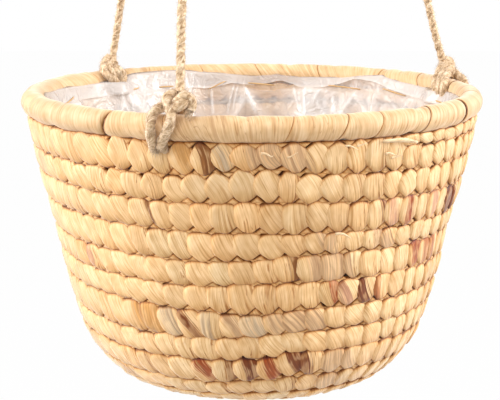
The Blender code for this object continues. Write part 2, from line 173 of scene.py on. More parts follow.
def around(angle, radius, z):
    """A point by its angle in degrees, radius and height."""
    turn = math.radians(angle)
    return Vector((radius * math.cos(turn), radius * math.sin(turn), z))


class TubOutline:
    """The tub's outer outline, read by the distance along it from the rim."""

    def __init__(self):
        shares = smooth_through([(r, d, 0.0) for r, d in OUTLINE_SHARES], OUTLINE_STEPS)
        self.radius = np.array([max(p.x, 0.0) * BODY_RADIUS for p in shares])
        self.depth = np.array([min(max(p.y, 0.0), 1.0) * BODY_HEIGHT for p in shares])
        along = np.hypot(np.diff(self.radius), np.diff(self.depth))
        self.along = np.concatenate([[0.0], np.cumsum(along)])
        self.length = float(self.along[-1])
        self.slope = (np.gradient(self.radius, self.along), np.gradient(self.depth, self.along))

    def at_depth(self, share):
        return float(np.interp(share * BODY_HEIGHT, self.depth, self.along))

    def downwards(self, along):
        """Unit direction (radius, z) down the wall."""
        step = Vector((float(np.interp(along, self.along, self.slope[0])),
                       -float(np.interp(along, self.along, self.slope[1]))))
        return step.normalized()

    def point(self, along, inwards):
        """(radius, z) at a distance along the outline and a distance in from it."""
        down = self.downwards(along)
        radius = float(np.interp(along, self.along, self.radius)) + inwards * down.y
        z = RIM_UNDER_Z - float(np.interp(along, self.along, self.depth)) - inwards * down.x
        return radius, z


class BraidWinding:
    """The braid's edges: its turns counted from the tail under the rim."""

    def __init__(self, outline):
        knots = [(0.0, TAIL_WIDTH), (self.turn_at(SEAM_ANGLES[-1], 0),
                                     outline.at_depth(FIRST_SEAM_SHARE))]
        for row, shares in enumerate(SEAM_DEPTH_SHARES):
            for angle, share in zip(SEAM_ANGLES, shares):
                turn = self.turn_at(angle, row + (angle > TAIL_ANGLE))
                knots.append((turn, outline.at_depth(share)))
        left = outline.length - knots[-1][1] - TAIL_WIDTH
        turns = max(round(left / BASE_BRAID_WIDTH), 1)
        for i in range(1, turns + 1):
            knots.append((knots[-1][0] + 1.0, knots[-1][1] + left / turns))
        self.last_turn = knots[-1][0]
        curve = smooth_through([(t, s, 0.0) for t, s in knots], SEAM_STEPS)
        self.turns = np.array([p.x for p in curve])
        self.edges = np.array([p.y for p in curve])

    @staticmethod
    def turn_at(angle, row):
        return row + ((angle - TAIL_ANGLE) % 360.0) / 360.0

    def lower(self, turn):
        return float(np.interp(turn, self.turns, self.edges))

    def upper(self, turn):
        return self.lower(turn - 1.0) if turn >= 1.0 else 0.0


tub = TubOutline()
winding = BraidWinding(tub)


def braid_stations():
    """Turn, top edge, bottom edge and step at each crossing of the plait, by its pitch.
    The last crossings curl into the middle of the base and close it."""
    rng = random.Random(41)
    stations = []
    turn = FIRST_LOBE_TURN
    while turn < winding.last_turn + CURLED_TURNS:
        top, foot = winding.upper(turn), winding.lower(turn)
        radius = max(tub.point((top + foot) / 2, 0.0)[0], LEAST_RADIUS)
        step = LOBE_PITCH * rng.uniform(0.93, 1.08) / (2 * math.pi * radius)
        stations.append((turn, top, foot, step))
        turn += step
    return stations


def stain_at(turn, step):
    """The stained husk that most of this crossing shows: its colour, and where it lies
    across the crossing as shares of its width from the middle. None where there is none."""
    angle = (TAIL_ANGLE + 360.0 * turn) % 360.0
    row = int(turn) + (0 if angle > TAIL_ANGLE else 1)
    best, found = LEAST_STAIN, None
    for stain_row, first, last, colour in HUSK_STAINS:
        low, high = (first - angle) / (360.0 * step), (last - angle) / (360.0 * step)
        shown = min(high, 0.5) - max(low, -0.5)
        if stain_row == row and shown > best:
            best, found = shown, (colour, low, high)
    return found


def ring_faces(rings, sides, first=0):
    """Faces between rings of points that follow each other, from this point on."""
    return [(first + r * sides + i, first + r * sides + (i + 1) % sides,
             first + (r + 1) * sides + (i + 1) % sides, first + (r + 1) * sides + i)
            for r in range(rings - 1) for i in range(sides)]


def husk_lobe(name, seed, fineness, crown, foot, lean):
    """A crossing of the plait: a soft six-sided pillow, one unit wide and high.

    crown and foot are how broad its upper and lower ends are, of its width, and lean is
    how far it slants. Across it a goes from -1 to 1, and up it b does.
    """
    rng = random.Random(seed)
    crease = rng.uniform(-0.45, 0.45)
    depth = rng.uniform(0.03, 0.14)
    sag = rng.uniform(-0.06, 0.06)
    bent = rng.uniform(-0.05, 0.09)
    fan, curve = rng.uniform(-0.9, 0.9), rng.uniform(-0.010, 0.010)
    verts, uvs, rim_shades = [], [], []
    for j in range(fineness + 1):
        b = math.sin(math.pi / 2 * (2 * j / fineness - 1))
        narrow = max(0.0, (abs(b) - LOBE_WAIST) / (1.0 - LOBE_WAIST))
        half = 1.0 - (1.0 - (crown if b > 0 else foot)) * narrow ** 1.35
        for i in range(fineness + 1):
            a = math.sin(math.pi / 2 * (2 * i / fineness - 1))
            x = 0.5 * (a * half * LOBE_OVERLAP - lean * b) + bent * (1 - b * b) * a * a
            y = 0.5 * (b * (1.0 - SIDE_DROP * a * a) + sag * a * (1 - b * b))
            fall = (1 - abs(a) ** 6.5) ** 0.55 * (1 - abs(b) ** 5.5) ** 0.50
            fold = depth * math.exp(-((2 * x + lean * b * 1.6 - crease) / FOLD_WIDTH) ** 2)
            dent = DENT_DEPTH * noise.noise(Vector((x * 3.2, y * 2.2, seed * 1.7)))
            x += OUTLINE_WAVES[0] * noise.noise(Vector((x * 2.6, y * 3.4, seed * 0.9)))
            y += OUTLINE_WAVES[1] * noise.noise(Vector((x * 3.4, y * 2.6, seed * 2.3)))
            verts.append((x, y, fall * (1 - fold + dent - SIDE_FALL * a
                                        - BOTH_SIDES_FALL * a * a)))
            uvs.append((x * LOBE_GRAIN[0] * (1 + fan * y) + curve * y * y, y * LOBE_GRAIN[1]))
            # Painted shade: darker towards the lobe's sides, ends and corners, where it dips into
            # the seams
            side, end, corner = abs(a * 1.12) ** 8, abs(b * 1.05) ** 8, (a * b) ** 2 * 1.4
            rim_shades.append(min(max(min(side, 0.50), end, corner), 1.0))
    width = fineness + 1
    faces = [(k, k + 1, k + 1 + width, k + width)
             for j in range(fineness) for k in range(j * width, j * width + fineness)]
    return husk_object(name, verts, faces, uvs, rim_shades)


def notch_husk(name, seed):
    """A strand behind the lobes, seen as a small low triangle at a row's edge."""
    rng = random.Random(seed)
    tip = rng.uniform(-0.10, 0.10)
    outline = ((-0.5, 0.0), (-0.22, -0.02), (0.22, -0.02), (0.5, 0.0), (0.26, 0.50),
               (tip, 1.0), (-0.26, 0.48))
    verts = [(x, y, 0.0) for x, y in outline]
    verts += [(x * 0.66, 0.10 + y * 0.72, 0.86) for x, y in outline] + [(0.0, 0.42, 1.0)]
    count = len(outline)
    faces = ring_faces(2, count)
    faces += [(count + i, count + (i + 1) % count, 2 * count) for i in range(count)]
    # Painted shade: darkest round the triangle's outline, where it goes under the lobes
    rim_shades = [1.0] * count + [0.72] * count + [0.2]
    return husk_object(name, verts, faces, [(x * 0.008, y * 0.004) for x, y, _ in verts], rim_shades)


def husk_object(name, verts, faces, uvs, rim_shades, seam=None):
    """A piece of husk with its grain's UV and its rims, which are painted dark as brown seams and
    painted shade.

    Where a face lies over the seam of a closed ring, low v goes on up by seam.
    """
    data = bpy.data.meshes.new(name)
    data.from_pydata(verts, [], faces)
    layer = data.uv_layers.new(name="UVMap")
    for face in data.polygons:
        highest = max(uvs[v][1] for v in face.vertices)
        for loop in face.loop_indices:
            u, v = uvs[data.loops[loop].vertex_index]
            layer.data[loop].uv = (u, v + seam if seam and highest - v > seam / 2 else v)
    edge = data.attributes.new("edge", "FLOAT", "POINT")
    edge.data.foreach_set("value", rim_shades)
    data.shade_smooth()
    return bpy.data.objects.new(name, data)


def painted(thing, tint, tone, finish):
    """Puts a husk piece of one colour in the scene, with its faces turned outwards."""
    data = thing.data
    body = bmesh.new()
    body.from_mesh(data)
    bmesh.ops.recalc_face_normals(body, faces=body.faces)
    body.to_mesh(data)
    body.free()
    for name, kind, key, value in (("tint", "FLOAT_COLOR", "color", (*tint, 1.0)),
                                   ("tone", "FLOAT", "value", tone)):
        layer = data.attributes.new(name, kind, "POINT")
        layer.data.foreach_set(key, np.tile(value, len(data.vertices)))
    data.materials.append(finish)
    bpy.context.collection.objects.link(thing)
    return thing


def node_in(tree, kind, inputs=None, **settings):
    """A new node with its settings. Each input is a value, or another node's output."""
    node = tree.nodes.new(kind)
    for name, value in settings.items():
        setattr(node, name, value)
    for socket, value in (inputs or {}).items():
        if isinstance(value, bpy.types.NodeSocket):
            tree.links.new(value, node.inputs[socket])
        else:
            node.inputs[socket].default_value = value
    return node


def calc(tree, operation, *values):
    return node_in(tree, "ShaderNodeMath", dict(enumerate(values)), operation=operation).outputs[0]


def vector_calc(tree, operation, *values, **more):
    inputs = {**dict(enumerate(values)), **more}
    return node_in(tree, "ShaderNodeVectorMath", inputs, operation=operation).outputs[0]


def mixed(tree, a, b, share, blend="MIX"):
    return node_in(tree, "ShaderNodeMix", {"Factor": share, "A": a, "B": b},
                   data_type="RGBA", blend_type=blend).outputs["Result"]


def step_between(tree, value, low, high):
    return node_in(tree, "ShaderNodeMapRange", {"Value": value, "From Min": low, "From Max": high},
                   interpolation_type="SMOOTHSTEP").outputs["Result"]


def times(tree, *factors):
    """The product of several values."""
    product = factors[0]
    for factor in factors[1:]:
        product = calc(tree, "MULTIPLY", product, factor)
    return product


def attribute_in(tree, key, output="Fac"):
    return node_in(tree, "ShaderNodeAttribute", attribute_name=key).outputs[output]


def cloudy(tree, scale, detail, **inputs):
    """A noise texture's value."""
    return node_in(tree, "ShaderNodeTexNoise", {"Scale": scale, "Detail": detail,
                                                **inputs}).outputs["Fac"]


def shaded(tree, value, *stops):
    """A colour by a value, through these stops of place and colour."""
    node = node_in(tree, "ShaderNodeValToRGB", {"Fac": value})
    band = node.color_ramp.elements
    for element, (place, colour) in zip(band, (stops[0], stops[-1])):
        element.position, element.color = place, (*colour, 1.0)
    for place, colour in stops[1:-1]:
        band.new(place).color = (*colour, 1.0)
    return node.outputs["Color"]


def toned(tree, colour, value, stops, share=1.0):
    """A colour multiplied by the tone that a value has in these stops."""
    return mixed(tree, colour, shaded(tree, value, *stops), share, "MULTIPLY")


def new_finish(name, **values):
    """A material with its node tree and its shader, whose inputs are named in values."""
    made = bpy.data.materials.new(name)
    made.use_nodes = True
    shader = made.node_tree.nodes["Principled BSDF"]
    for key, value in values.items():
        shader.inputs[key.replace("_", " ")].default_value = value
    return made, made.node_tree, shader


def raised(tree, shader, height, distance, strength=0.9):
    """Gives a shader a relief of this height."""
    bump = node_in(tree, "ShaderNodeBump", {"Height": height, "Distance": distance,
                                            "Strength": strength})
    tree.links.new(bump.outputs["Normal"], shader.inputs["Normal"])


# Grain of the husk: waves per metre across it and along it, and their detail
FIBRE_GRAIN = (1250.0, 48.0, 2.0)
FOLD_GRAIN = (700.0, 26.0, 2.0)
PATCH_GRAIN = (190.0, 130.0, 1.0)
CREASE_GRAIN = (420.0, 20.0, 1.0)
GRAIN_DEPTH = 40.0
HUSK_SHIFT = (7.0, 13.0, 29.0)   # between the grains of two husks whose tones differ by one

# Tones that the husk's straw is multiplied by: stops of place and colour
# Painted light and shade on each lobe: lighter at its crown, darker at its foot
FOOT_PAINTED_SHADE, CROWN_PAINTED_LIGHT = (0.85, 0.74, 0.58, 1.0), (1.05, 1.06, 1.09, 1.0)
PATCH_TONES = ((0.34, (0.90, 0.85, 0.78)), (0.66, (1.05, 1.07, 1.11)))
# The fibres' grain, light and dark; its palest stop is also a painted highlight along the fibres
FIBRE_AND_HIGHLIGHT_TONES = ((0.30, (0.76, 0.65, 0.50)), (0.46, (0.98, 0.97, 0.955)),
               (0.70, (1.10, 1.17, 1.30)))
# Painted shade in the pleats' folds and painted light on their ridges
FOLD_SHADE_TONES = ((0.35, (0.56, 0.38, 0.22)), (0.44, (0.94, 0.90, 0.84)), (0.66, (1.07, 1.10, 1.14)))
# Painted shade along the creases
CREASE_SHADE = (0.52, 0.33, 0.17, 1.0)
# Painted shade towards a husk's rims, ending in the seams' brown
EDGE_SHADE_TONES = ((0.0, (1.0, 1.0, 1.0)), (0.40, (0.97, 0.94, 0.88)), (0.68, (0.77, 0.60, 0.41)),
              (0.94, SEAM_BROWN_AND_SHADE))
STAIN_FOLD_TONES = ((0.34, (0.74, 0.66, 0.60)), (0.52, (1.0, 1.0, 1.0)),
                    (0.68, (1.24, 1.21, 1.16)))
STAIN_FIBRE_TONES = ((0.32, (0.84, 0.79, 0.75)), (0.70, (1.14, 1.14, 1.14)))
STAIN_BLUR = 0.0010
STAIN_RAGGEDNESS = 0.0075
THINNEST_STAIN = 0.64        # how much of its colour a stain has in its pale patches
# Where on a husk's UV it begins to pleat and is fully pleated, and where its painted shade is
# darkest and its painted light palest
PLEATS_FROM, PLEATS_TO, PLEATS_WAVER = -0.0022, 0.0034, 0.024
DARK_FOOT, PALE_CROWN = -0.0085, 0.0015


def stained(tree, colour, across, fibres, folds, patches):
    """A husk's colour with its stain, which has ragged edges and pale patches.

    The span attribute holds the stain's two edges across the grain, and 1 where there is one.
    """
    span = node_in(tree, "ShaderNodeSeparateXYZ",
                   {"Vector": attribute_in(tree, "span", "Vector")}).outputs
    rough = calc(tree, "SUBTRACT", calc(tree, "ADD", fibres, folds), 1.0)
    ragged = calc(tree, "ADD", across, calc(tree, "MULTIPLY", rough, STAIN_RAGGEDNESS))
    past_first, before_last = (
        step_between(tree, calc(tree, "SUBTRACT", high, low), -STAIN_BLUR, STAIN_BLUR)
        for high, low in ((ragged, span["X"]), (span["Y"], ragged)))
    cover = calc(tree, "MULTIPLY_ADD", step_between(
        tree, calc(tree, "ADD", patches, folds), 1.14, 0.98), 1.0 - THINNEST_STAIN, THINNEST_STAIN)
    stain = toned(tree, attribute_in(tree, "stain", "Color"), folds, STAIN_FOLD_TONES)
    return mixed(tree, colour, toned(tree, stain, fibres, STAIN_FIBRE_TONES),
                 times(tree, past_first, before_last, span["Z"], cover))


def husk_finish(name, grain_angle, spread, pleats, relief, fineness=1.0, contrast=1.0):
    """Dry husk: fine fibres along the grain, pleats in some lobes, stains, brown seams, and painted
    light and shade.

    Each husk's grain lies at the grain's angle, give or take half the spread, by its tone.
    """
    made, tree, shader = new_finish(name, Roughness=0.50, IOR=1.42, Specular_IOR_Level=0.30,
                                    Sheen_Weight=0.42, Sheen_Roughness=0.40,
                                    Sheen_Tint=(1.0, 0.96, 0.90, 1))
    tone = attribute_in(tree, "tone")
    uv = node_in(tree, "ShaderNodeUVMap", uv_map="UVMap").outputs["UV"]
    angle = calc(tree, "MULTIPLY_ADD", tone, spread, grain_angle - spread / 2)
    turned = node_in(tree, "ShaderNodeVectorRotate", {"Vector": uv, "Angle": angle},
                     rotation_type="Z_AXIS").outputs["Vector"]
    moved = vector_calc(tree, "MULTIPLY_ADD", attribute_in(tree, "tone", "Vector"), HUSK_SHIFT,
                        turned)

    def grain(across, along, detail):
        stretched = vector_calc(tree, "MULTIPLY", moved, (across * fineness, along, GRAIN_DEPTH))
        return cloudy(tree, 1.0, detail, Vector=stretched, Roughness=0.55)

    fibres, folds, patches = grain(*FIBRE_GRAIN), grain(*FOLD_GRAIN), grain(*PATCH_GRAIN)
    place = node_in(tree, "ShaderNodeSeparateXYZ", {"Vector": uv}).outputs
    aside = calc(tree, "MULTIPLY_ADD", patches, PLEATS_WAVER,
                 calc(tree, "SUBTRACT", place["X"], PLEATS_WAVER / 2))
    pleated = times(tree, step_between(tree, tone, 0.02, 0.8), pleats,
                    step_between(tree, aside, PLEATS_FROM, PLEATS_TO))
    # Painted light at the lobe's crown and painted shade at its foot
    lit = mixed(tree, FOOT_PAINTED_SHADE, CROWN_PAINTED_LIGHT,
                step_between(tree, place["Y"], DARK_FOOT, PALE_CROWN))
    straw = mixed(tree, attribute_in(tree, "tint", "Color"), lit, 1.0, "MULTIPLY")
    patched = toned(tree, straw, patches, PATCH_TONES, contrast)
    lined = toned(tree, patched, fibres, FIBRE_AND_HIGHLIGHT_TONES, contrast)
    # Painted shade and light on the pleats, and painted shade in the creases
    folded = toned(tree, lined, folds, FOLD_SHADE_TONES, pleated)
    crease = calc(tree, "ABSOLUTE", calc(tree, "SUBTRACT", grain(*CREASE_GRAIN), 0.5))
    creased = mixed(tree, folded, CREASE_SHADE, calc(
        tree, "MULTIPLY", step_between(tree, crease, 0.011, 0.003), pleated), "MULTIPLY")
    across = node_in(tree, "ShaderNodeSeparateXYZ", {"Vector": turned}).outputs["X"]
    # Brown seams and painted shade towards the rims, by the edge attribute
    coloured = toned(tree, stained(tree, creased, across, fibres, folds, patches),
                     attribute_in(tree, "edge"), EDGE_SHADE_TONES)
    tree.links.new(coloured, shader.inputs["Base Color"])
    height = calc(tree, "MULTIPLY_ADD", folds, calc(tree, "ADD", pleated, 0.3),
                  calc(tree, "MULTIPLY", fibres, 0.45))
    raised(tree, shader, height, relief)
    return made


POINT_LAYERS = (("facing", "FLOAT_VECTOR", "vector"), ("size", "FLOAT_VECTOR", "vector"),
                ("span", "FLOAT_VECTOR", "vector"), ("shape", "INT", "value"),
                ("tone", "FLOAT", "value"), ("tint", "FLOAT_COLOR", "color"),
                ("stain", "FLOAT_COLOR", "color"))


def placed_points(name, rows):
    """A mesh of points only, with the facing, size, shape and colours of each crossing."""
    data = bpy.data.meshes.new(name)
    data.from_pydata([row["at"] for row in rows], [], [])
    for layer_name, kind, key in POINT_LAYERS:
        layer = data.attributes.new(layer_name, kind, "POINT")
        layer.data.foreach_set(key, np.ravel([row[layer_name] for row in rows]))
    made = bpy.data.objects.new(name, data)
    bpy.context.collection.objects.link(made)
    return made


def new_tree(name, **inputs):
    """A geometry node tree with these inputs, and its input and output nodes."""
    tree = bpy.data.node_groups.new(name, "GeometryNodeTree")
    sockets = {"Geometry": "Geometry", **inputs}
    for label, kind in sockets.items():
        tree.interface.new_socket(label.replace("_", " "), in_out="INPUT",
                                  socket_type=f"NodeSocket{kind}")
    tree.interface.new_socket("Geometry", in_out="OUTPUT", socket_type="NodeSocketGeometry")
    return tree, tree.nodes.new("NodeGroupInput").outputs


def end_tree(tree, geometry, finish):
    """Ends a tree with real geometry in one finish."""
    real = node_in(tree, "GeometryNodeRealizeInstances", {"Geometry": geometry})
    finished = node_in(tree, "GeometryNodeSetMaterial", {
        "Geometry": real.outputs["Geometry"], "Material": finish})
    node_in(tree, "NodeGroupOutput", {"Geometry": finished.outputs["Geometry"]})


def plait_tree(name, shapes):
    """Sets one of the shapes at each point, faced, sized and numbered by its attributes."""
    tree, start = new_tree(name, Lobe_Size="Float", Husk="Material")

    def named(kind, key):
        return node_in(tree, "GeometryNodeInputNamedAttribute", {"Name": key},
                       data_type=kind).outputs["Attribute"]

    lobes = node_in(tree, "GeometryNodeCollectionInfo", {
        "Collection": shapes, "Separate Children": True, "Reset Children": True})
    size = vector_calc(tree, "SCALE", named("FLOAT_VECTOR", "size"), Scale=start["Lobe Size"])
    put = node_in(tree, "GeometryNodeInstanceOnPoints", {
        "Points": start["Geometry"], "Instance": lobes.outputs["Instances"],
        "Pick Instance": True, "Instance Index": named("INT", "shape"),
        "Rotation": named("FLOAT_VECTOR", "facing"), "Scale": size})
    end_tree(tree, put.outputs["Instances"], start["Husk"])
    return tree


def grown(host, tree, values, name):
    """Runs a node tree on its host and returns the result as a plain mesh object."""
    modifier = host.modifiers.new(tree.name, "NODES")
    modifier.node_group = tree
    for item in tree.interface.items_tree:
        if item.item_type == "SOCKET" and item.in_out == "INPUT" and item.name in values:
            modifier[item.identifier] = values[item.name]
    host.update_tag()
    bpy.context.view_layer.update()
    depsgraph = bpy.context.evaluated_depsgraph_get()
    data = bpy.data.meshes.new_from_object(host.evaluated_get(depsgraph),
                                           preserve_all_data_layers=True, depsgraph=depsgraph)
    data.name = name
    made = bpy.data.objects.new(name, data)
    bpy.context.collection.objects.link(made)
    bpy.data.objects.remove(host)
    return made


def facing_at(turn, along, outwards, half_turned=False, swing=0.0):
    """Turn of a lobe whose x runs along the row, y up the wall and z out of it."""
    angle = math.radians(TAIL_ANGLE + 360.0 * turn)
    down = tub.downwards(along)
    radial = Vector((math.cos(angle), math.sin(angle), 0.0))
    up = -(radial * down.x + Vector((0.0, 0.0, down.y)))
    row = Vector((-math.sin(angle), math.cos(angle), 0.0))
    normal = row.cross(up)
    if not outwards:
        row, normal = -row, -normal
    if half_turned:
        row, up = -row, -up
    aside = math.radians(swing)
    row, up = (row * math.cos(aside) + up * math.sin(aside),
               up * math.cos(aside) - row * math.sin(aside))
    return Matrix((row, up, normal)).transposed().to_euler()


# Crown, foot and lean of each lobe, by what its ends are like
LOBE_SHAPES = {
    "pointed_foot": ((0.82, 0.30, 0.10), (0.74, 0.26, 0.16), (0.80, 0.36, 0.06),
                     (0.72, 0.30, 0.20)),
    "pointed": ((0.42, 0.30, 0.08), (0.36, 0.36, 0.16), (0.46, 0.28, 0.12), (0.40, 0.32, 0.20)),
    "blunt": ((0.84, 0.66, 0.22), (0.76, 0.74, 0.30), (0.86, 0.60, 0.26), (0.80, 0.70, 0.16)),
    "leaning": ((0.76, 0.58, 0.42), (0.70, 0.64, 0.36), (0.80, 0.54, 0.48), (0.74, 0.60, 0.30)),
}
LOBE_ENDS = [(ends, shape) for ends, shapes in LOBE_SHAPES.items() for shape in shapes]
PLAIN_KINDS = 3              # of lobes on the inner face, and of triangles
INNER_LOBE = len(LOBE_ENDS)
NOTCH = INNER_LOBE + PLAIN_KINDS
LOBE_FINENESS, INNER_FINENESS = 9, 5
lobe_shapes = bpy.data.collections.new("lobe_shapes")
for kind, (_, shape) in enumerate(LOBE_ENDS):
    lobe_shapes.objects.link(husk_lobe(f"lobe_a{kind:02d}", 100 + kind, LOBE_FINENESS, *shape))
for kind in range(PLAIN_KINDS):
    lobe_shapes.objects.link(husk_lobe(f"lobe_b{kind:02d}", 200 + kind, INNER_FINENESS,
                                       0.7, 0.4, 0.1))
    lobe_shapes.objects.link(notch_husk(f"lobe_c{kind:02d}", 300 + kind))

# How the lobes end in each row from the top
ROW_ENDS = ("blunt", "pointed", "pointed", "pointed_foot", "pointed_foot", "blunt",
            "pointed_foot", "blunt", "blunt", "pointed_foot", "pointed", "pointed_foot",
            "pointed", "pointed_foot", "pointed", "pointed_foot", "pointed", "pointed")
LEANING_FROM, LEANING_TO = 165.0, 243.0


def ends_at(turn, rng):
    """What the lobes' ends are like here. They lean over most at the left."""
    angle = (TAIL_ANGLE + 360.0 * turn) % 360.0
    if LEANING_FROM < angle < LEANING_TO and turn < 10.0 and rng.random() < 0.75:
        return "leaning"
    ends = ROW_ENDS[min(int(turn + 0.45), len(ROW_ENDS) - 1)]
    if ends == "pointed" and turn < 4.0 and (angle > 292.0 or angle < 90.0):
        return "pointed_foot" if rng.random() < 0.7 else "pointed"
    return "pointed_foot" if ends == "blunt" and rng.random() < 0.25 else ends


def husk_colour(rng):
    """Straw, a little lighter or darker, and a little warmer or paler."""
    light = rng.gauss(1.0, 0.045)
    warm = rng.gauss(0.0, 0.028)
    return (STRAW[0] * light, STRAW[1] * (light - warm), STRAW[2] * (light - 2 * warm), 1.0)


NOTCH_SHADE = (0.93, 0.87, 0.78, 1.0)   # of the strands behind, against the lobes' straw


def braid_rows():
    """The lobes and triangles of the outer face, and the lobes of the inner face."""
    rng = random.Random(7)
    outer, inner = [], []
    for turn, top, foot, step in braid_stations():
        angle = TAIL_ANGLE + 360.0 * turn
        height, middle = foot - top, (top + foot) / 2 + rng.gauss(0.0, LOBE_WANDER)
        ends = ends_at(turn, rng)
        kind = rng.choice([i for i, (name, _) in enumerate(LOBE_ENDS) if name == ends])
        _, (crown, foot_share, lean) = LOBE_ENDS[kind]
        stain = stain_at(turn, step)
        husk = {"tone": rng.random(), "tint": husk_colour(rng), "stain": (1.0, 1.0, 1.0, 1.0),
                "span": (0.0, 0.0, 0.0)}
        if stain:
            husk["stain"] = (*stain[0], 1.0)
            husk["span"] = (stain[1] * LOBE_GRAIN[0], stain[2] * LOBE_GRAIN[0], 1.0)
        radius, z = tub.point(middle, BED_INSET)
        wide = step * 2 * math.pi * max(radius, LEAST_RADIUS)
        outer.append({**husk, "at": around(angle, radius, z),
                      "facing": facing_at(turn, middle, True, swing=rng.gauss(0, LOBE_SWING)),
                      "shape": kind,
                      "size": (wide, height * rng.uniform(1.07, 1.13),
                               LOBE_RISE * rng.uniform(0.86, 1.08))})
        radius, z = tub.point(middle, INNER_INSET)
        inner.append({**husk, "at": around(angle, radius, z),
                      "facing": facing_at(turn, middle, False),
                      "shape": INNER_LOBE + rng.randrange(PLAIN_KINDS),
                      "size": (wide, height * INNER_HEIGHT, INNER_RISE)})
        if height < NARROW_ROW:
            continue
        for place, share, sway, up in ((foot, foot_share, lean, True), (top, crown, -lean, False)):
            radius, z = tub.point(place + (NOTCH_TUCK if up else -NOTCH_TUCK), BED_INSET)
            outer.append({
                **husk, "at": around(angle + 360.0 * step * (0.5 + sway / 2), radius, z),
                "facing": facing_at(turn, place, True, not up),
                "size": (wide * rng.uniform(0.74, 0.90) * (1.15 - 0.5 * share),
                         height * rng.uniform(0.23, 0.31) * min(1.2 - 0.8 * share, 1.0),
                         NOTCH_RISE),
                "shape": NOTCH + rng.randrange(PLAIN_KINDS), "tone": rng.random() * 0.5,
                "tint": tuple(c * share for c, share in zip(husk_colour(rng), NOTCH_SHADE)),
                "span": (0.0, 0.0, 0.0)})
    return outer, inner


outer_rows, inner_rows = braid_rows()
plait_husk = husk_finish("plait_husk", grain_angle=math.radians(-24), spread=math.radians(34),
                         pleats=1.0, relief=0.00060)
plait = plait_tree("plait", lobe_shapes)
braid_face = grown(placed_points("braid_places", outer_rows), plait,
                   {"Lobe Size": 1.0, "Husk": plait_husk}, "braid_face")


BED_STEPS = 72               # in a turn
BED_GRAIN = (0.88, 0.016)    # a turn and a row's height on the grain's UV
# The strands behind the lobes: straw painted darker as shade
BED_SHADED_STRAW = (0.58, 0.37, 0.17)
# The band's section: places down the row as shares, and distances in from the outline
BED_SECTION = ((0.03, 0.0042), (0.12, 0.0029), (0.30, 0.0024), (0.5, 0.0023), (0.70, 0.0024),
               (0.88, 0.0029), (0.97, 0.0042), (0.98, 0.0066), (0.86, 0.0086), (0.5, 0.0094),
               (0.14, 0.0086), (0.02, 0.0066))


def braid_bed(name):
    """The strands behind the lobes, as one long band with a rounded section, painted darker as
    shade.
    """
    count = int(winding.last_turn * BED_STEPS)
    verts, uvs, edges = [], [], []
    for n in range(count + 1):
        turn = winding.last_turn * n / count
        top, foot = winding.upper(turn), winding.lower(turn)
        for share, inset in BED_SECTION:
            radius, z = tub.point(top + (foot - top) * share, inset)
            verts.append(around(TAIL_ANGLE + 360.0 * turn, radius, min(z, RIM_UNDER_Z)))
            uvs.append((turn * BED_GRAIN[0], share * BED_GRAIN[1]))
            # Painted shade: darker towards the band's edges, where it lies under the lobes
            edges.append(0.60 if 0.2 < share < 0.8 else 0.97)
    size = len(BED_SECTION)
    faces = [*ring_faces(count + 1, size), tuple(range(size)),
             tuple(count * size + i for i in reversed(range(size)))]
    return painted(husk_object(name, verts, faces, uvs, edges), BED_SHADED_STRAW, 0.5, plait_husk)


# Loose husk: where each lies, as turn, share down the row, length, width and how it curls
LOOSE_HUSKS = ((-0.0155, 0.0, 0.0270, 0.0036, 0.2), (-0.0120, 0.42, 0.012, 0.0013, 2.8),
               (-0.0070, 0.55, 0.011, 0.0011, -2.6), (0.0020, 0.40, 0.010, 0.0012, 2.2),
               (2.958, 0.98, 0.012, 0.0017, 1.1), (-0.095, 0.30, 0.009, 0.0014, 2.2),
               (-0.079, 0.44, 0.008, 0.0010, -2.0), (0.958, 0.10, 0.009, 0.0012, 1.6),
               (-0.034, 0.12, 0.007, 0.0014, -1.6), (0.300, 0.60, 0.012, 0.0018, 1.4),
               (3.520, 0.95, 0.011, 0.0014, -1.8))
SLIVER_THICKNESS = 0.00025
SLIVER_STAND = 0.0016        # of a sliver's foot off the outline
SLIVER_LIFT = 0.175          # of its length, by which its curl lifts it further
SLIVER_TAPER = 0.65          # of its width, from foot to tip
SLIVER_STEPS = 10
SLIVER_STRAW = (0.84, 0.62, 0.37)


def loose_husks(name):
    """Ends and slivers of husk that have come out of the plait, as thin curled strips."""
    verts, faces, uvs, edges = [], [], [], []
    steps = SLIVER_STEPS
    for index, (turn, share, length, width, curl) in enumerate(LOOSE_HUSKS):
        seen = turn if turn > 0 else turn + 1.0
        top, foot = winding.upper(seen), winding.lower(seen)
        along = min(top + (foot - top) * share, foot + 0.004)
        rng = random.Random(900 + index)
        slope = rng.uniform(-0.25, 0.10)
        first = len(verts)
        for i in range(steps + 1):
            t = i / steps
            bend = curl * t * t
            out = SLIVER_STAND + length * SLIVER_LIFT * t * abs(math.sin(bend))
            drop = length * t * (slope + 0.25 * math.sin(bend * 1.3))
            half = width / 2 * (1 - SLIVER_TAPER * t ** 2)
            angle = TAIL_ANGLE + 360.0 * seen + math.degrees(
                length * (t - 0.3 * t * t * min(abs(curl) / 3, 1)) / BODY_RADIUS)
            for side, thick in ((-1, 0.0), (1, 0.0), (1, SLIVER_THICKNESS),
                                (-1, SLIVER_THICKNESS)):
                radius, z = tub.point(along + drop + side * half * math.cos(bend * 0.6),
                                      -(out + thick + side * half * math.sin(bend * 0.6)))
                verts.append(around(angle, radius, z))
                uvs.append((side * half, length * t))
                edges.append(0.1)
        faces += [*ring_faces(steps + 1, 4, first), (first + 3, first + 2, first + 1, first),
                  tuple(first + steps * 4 + j for j in range(4))]
    return painted(husk_object(name, verts, faces, uvs, edges), SLIVER_STRAW, 0.2, plait_husk)


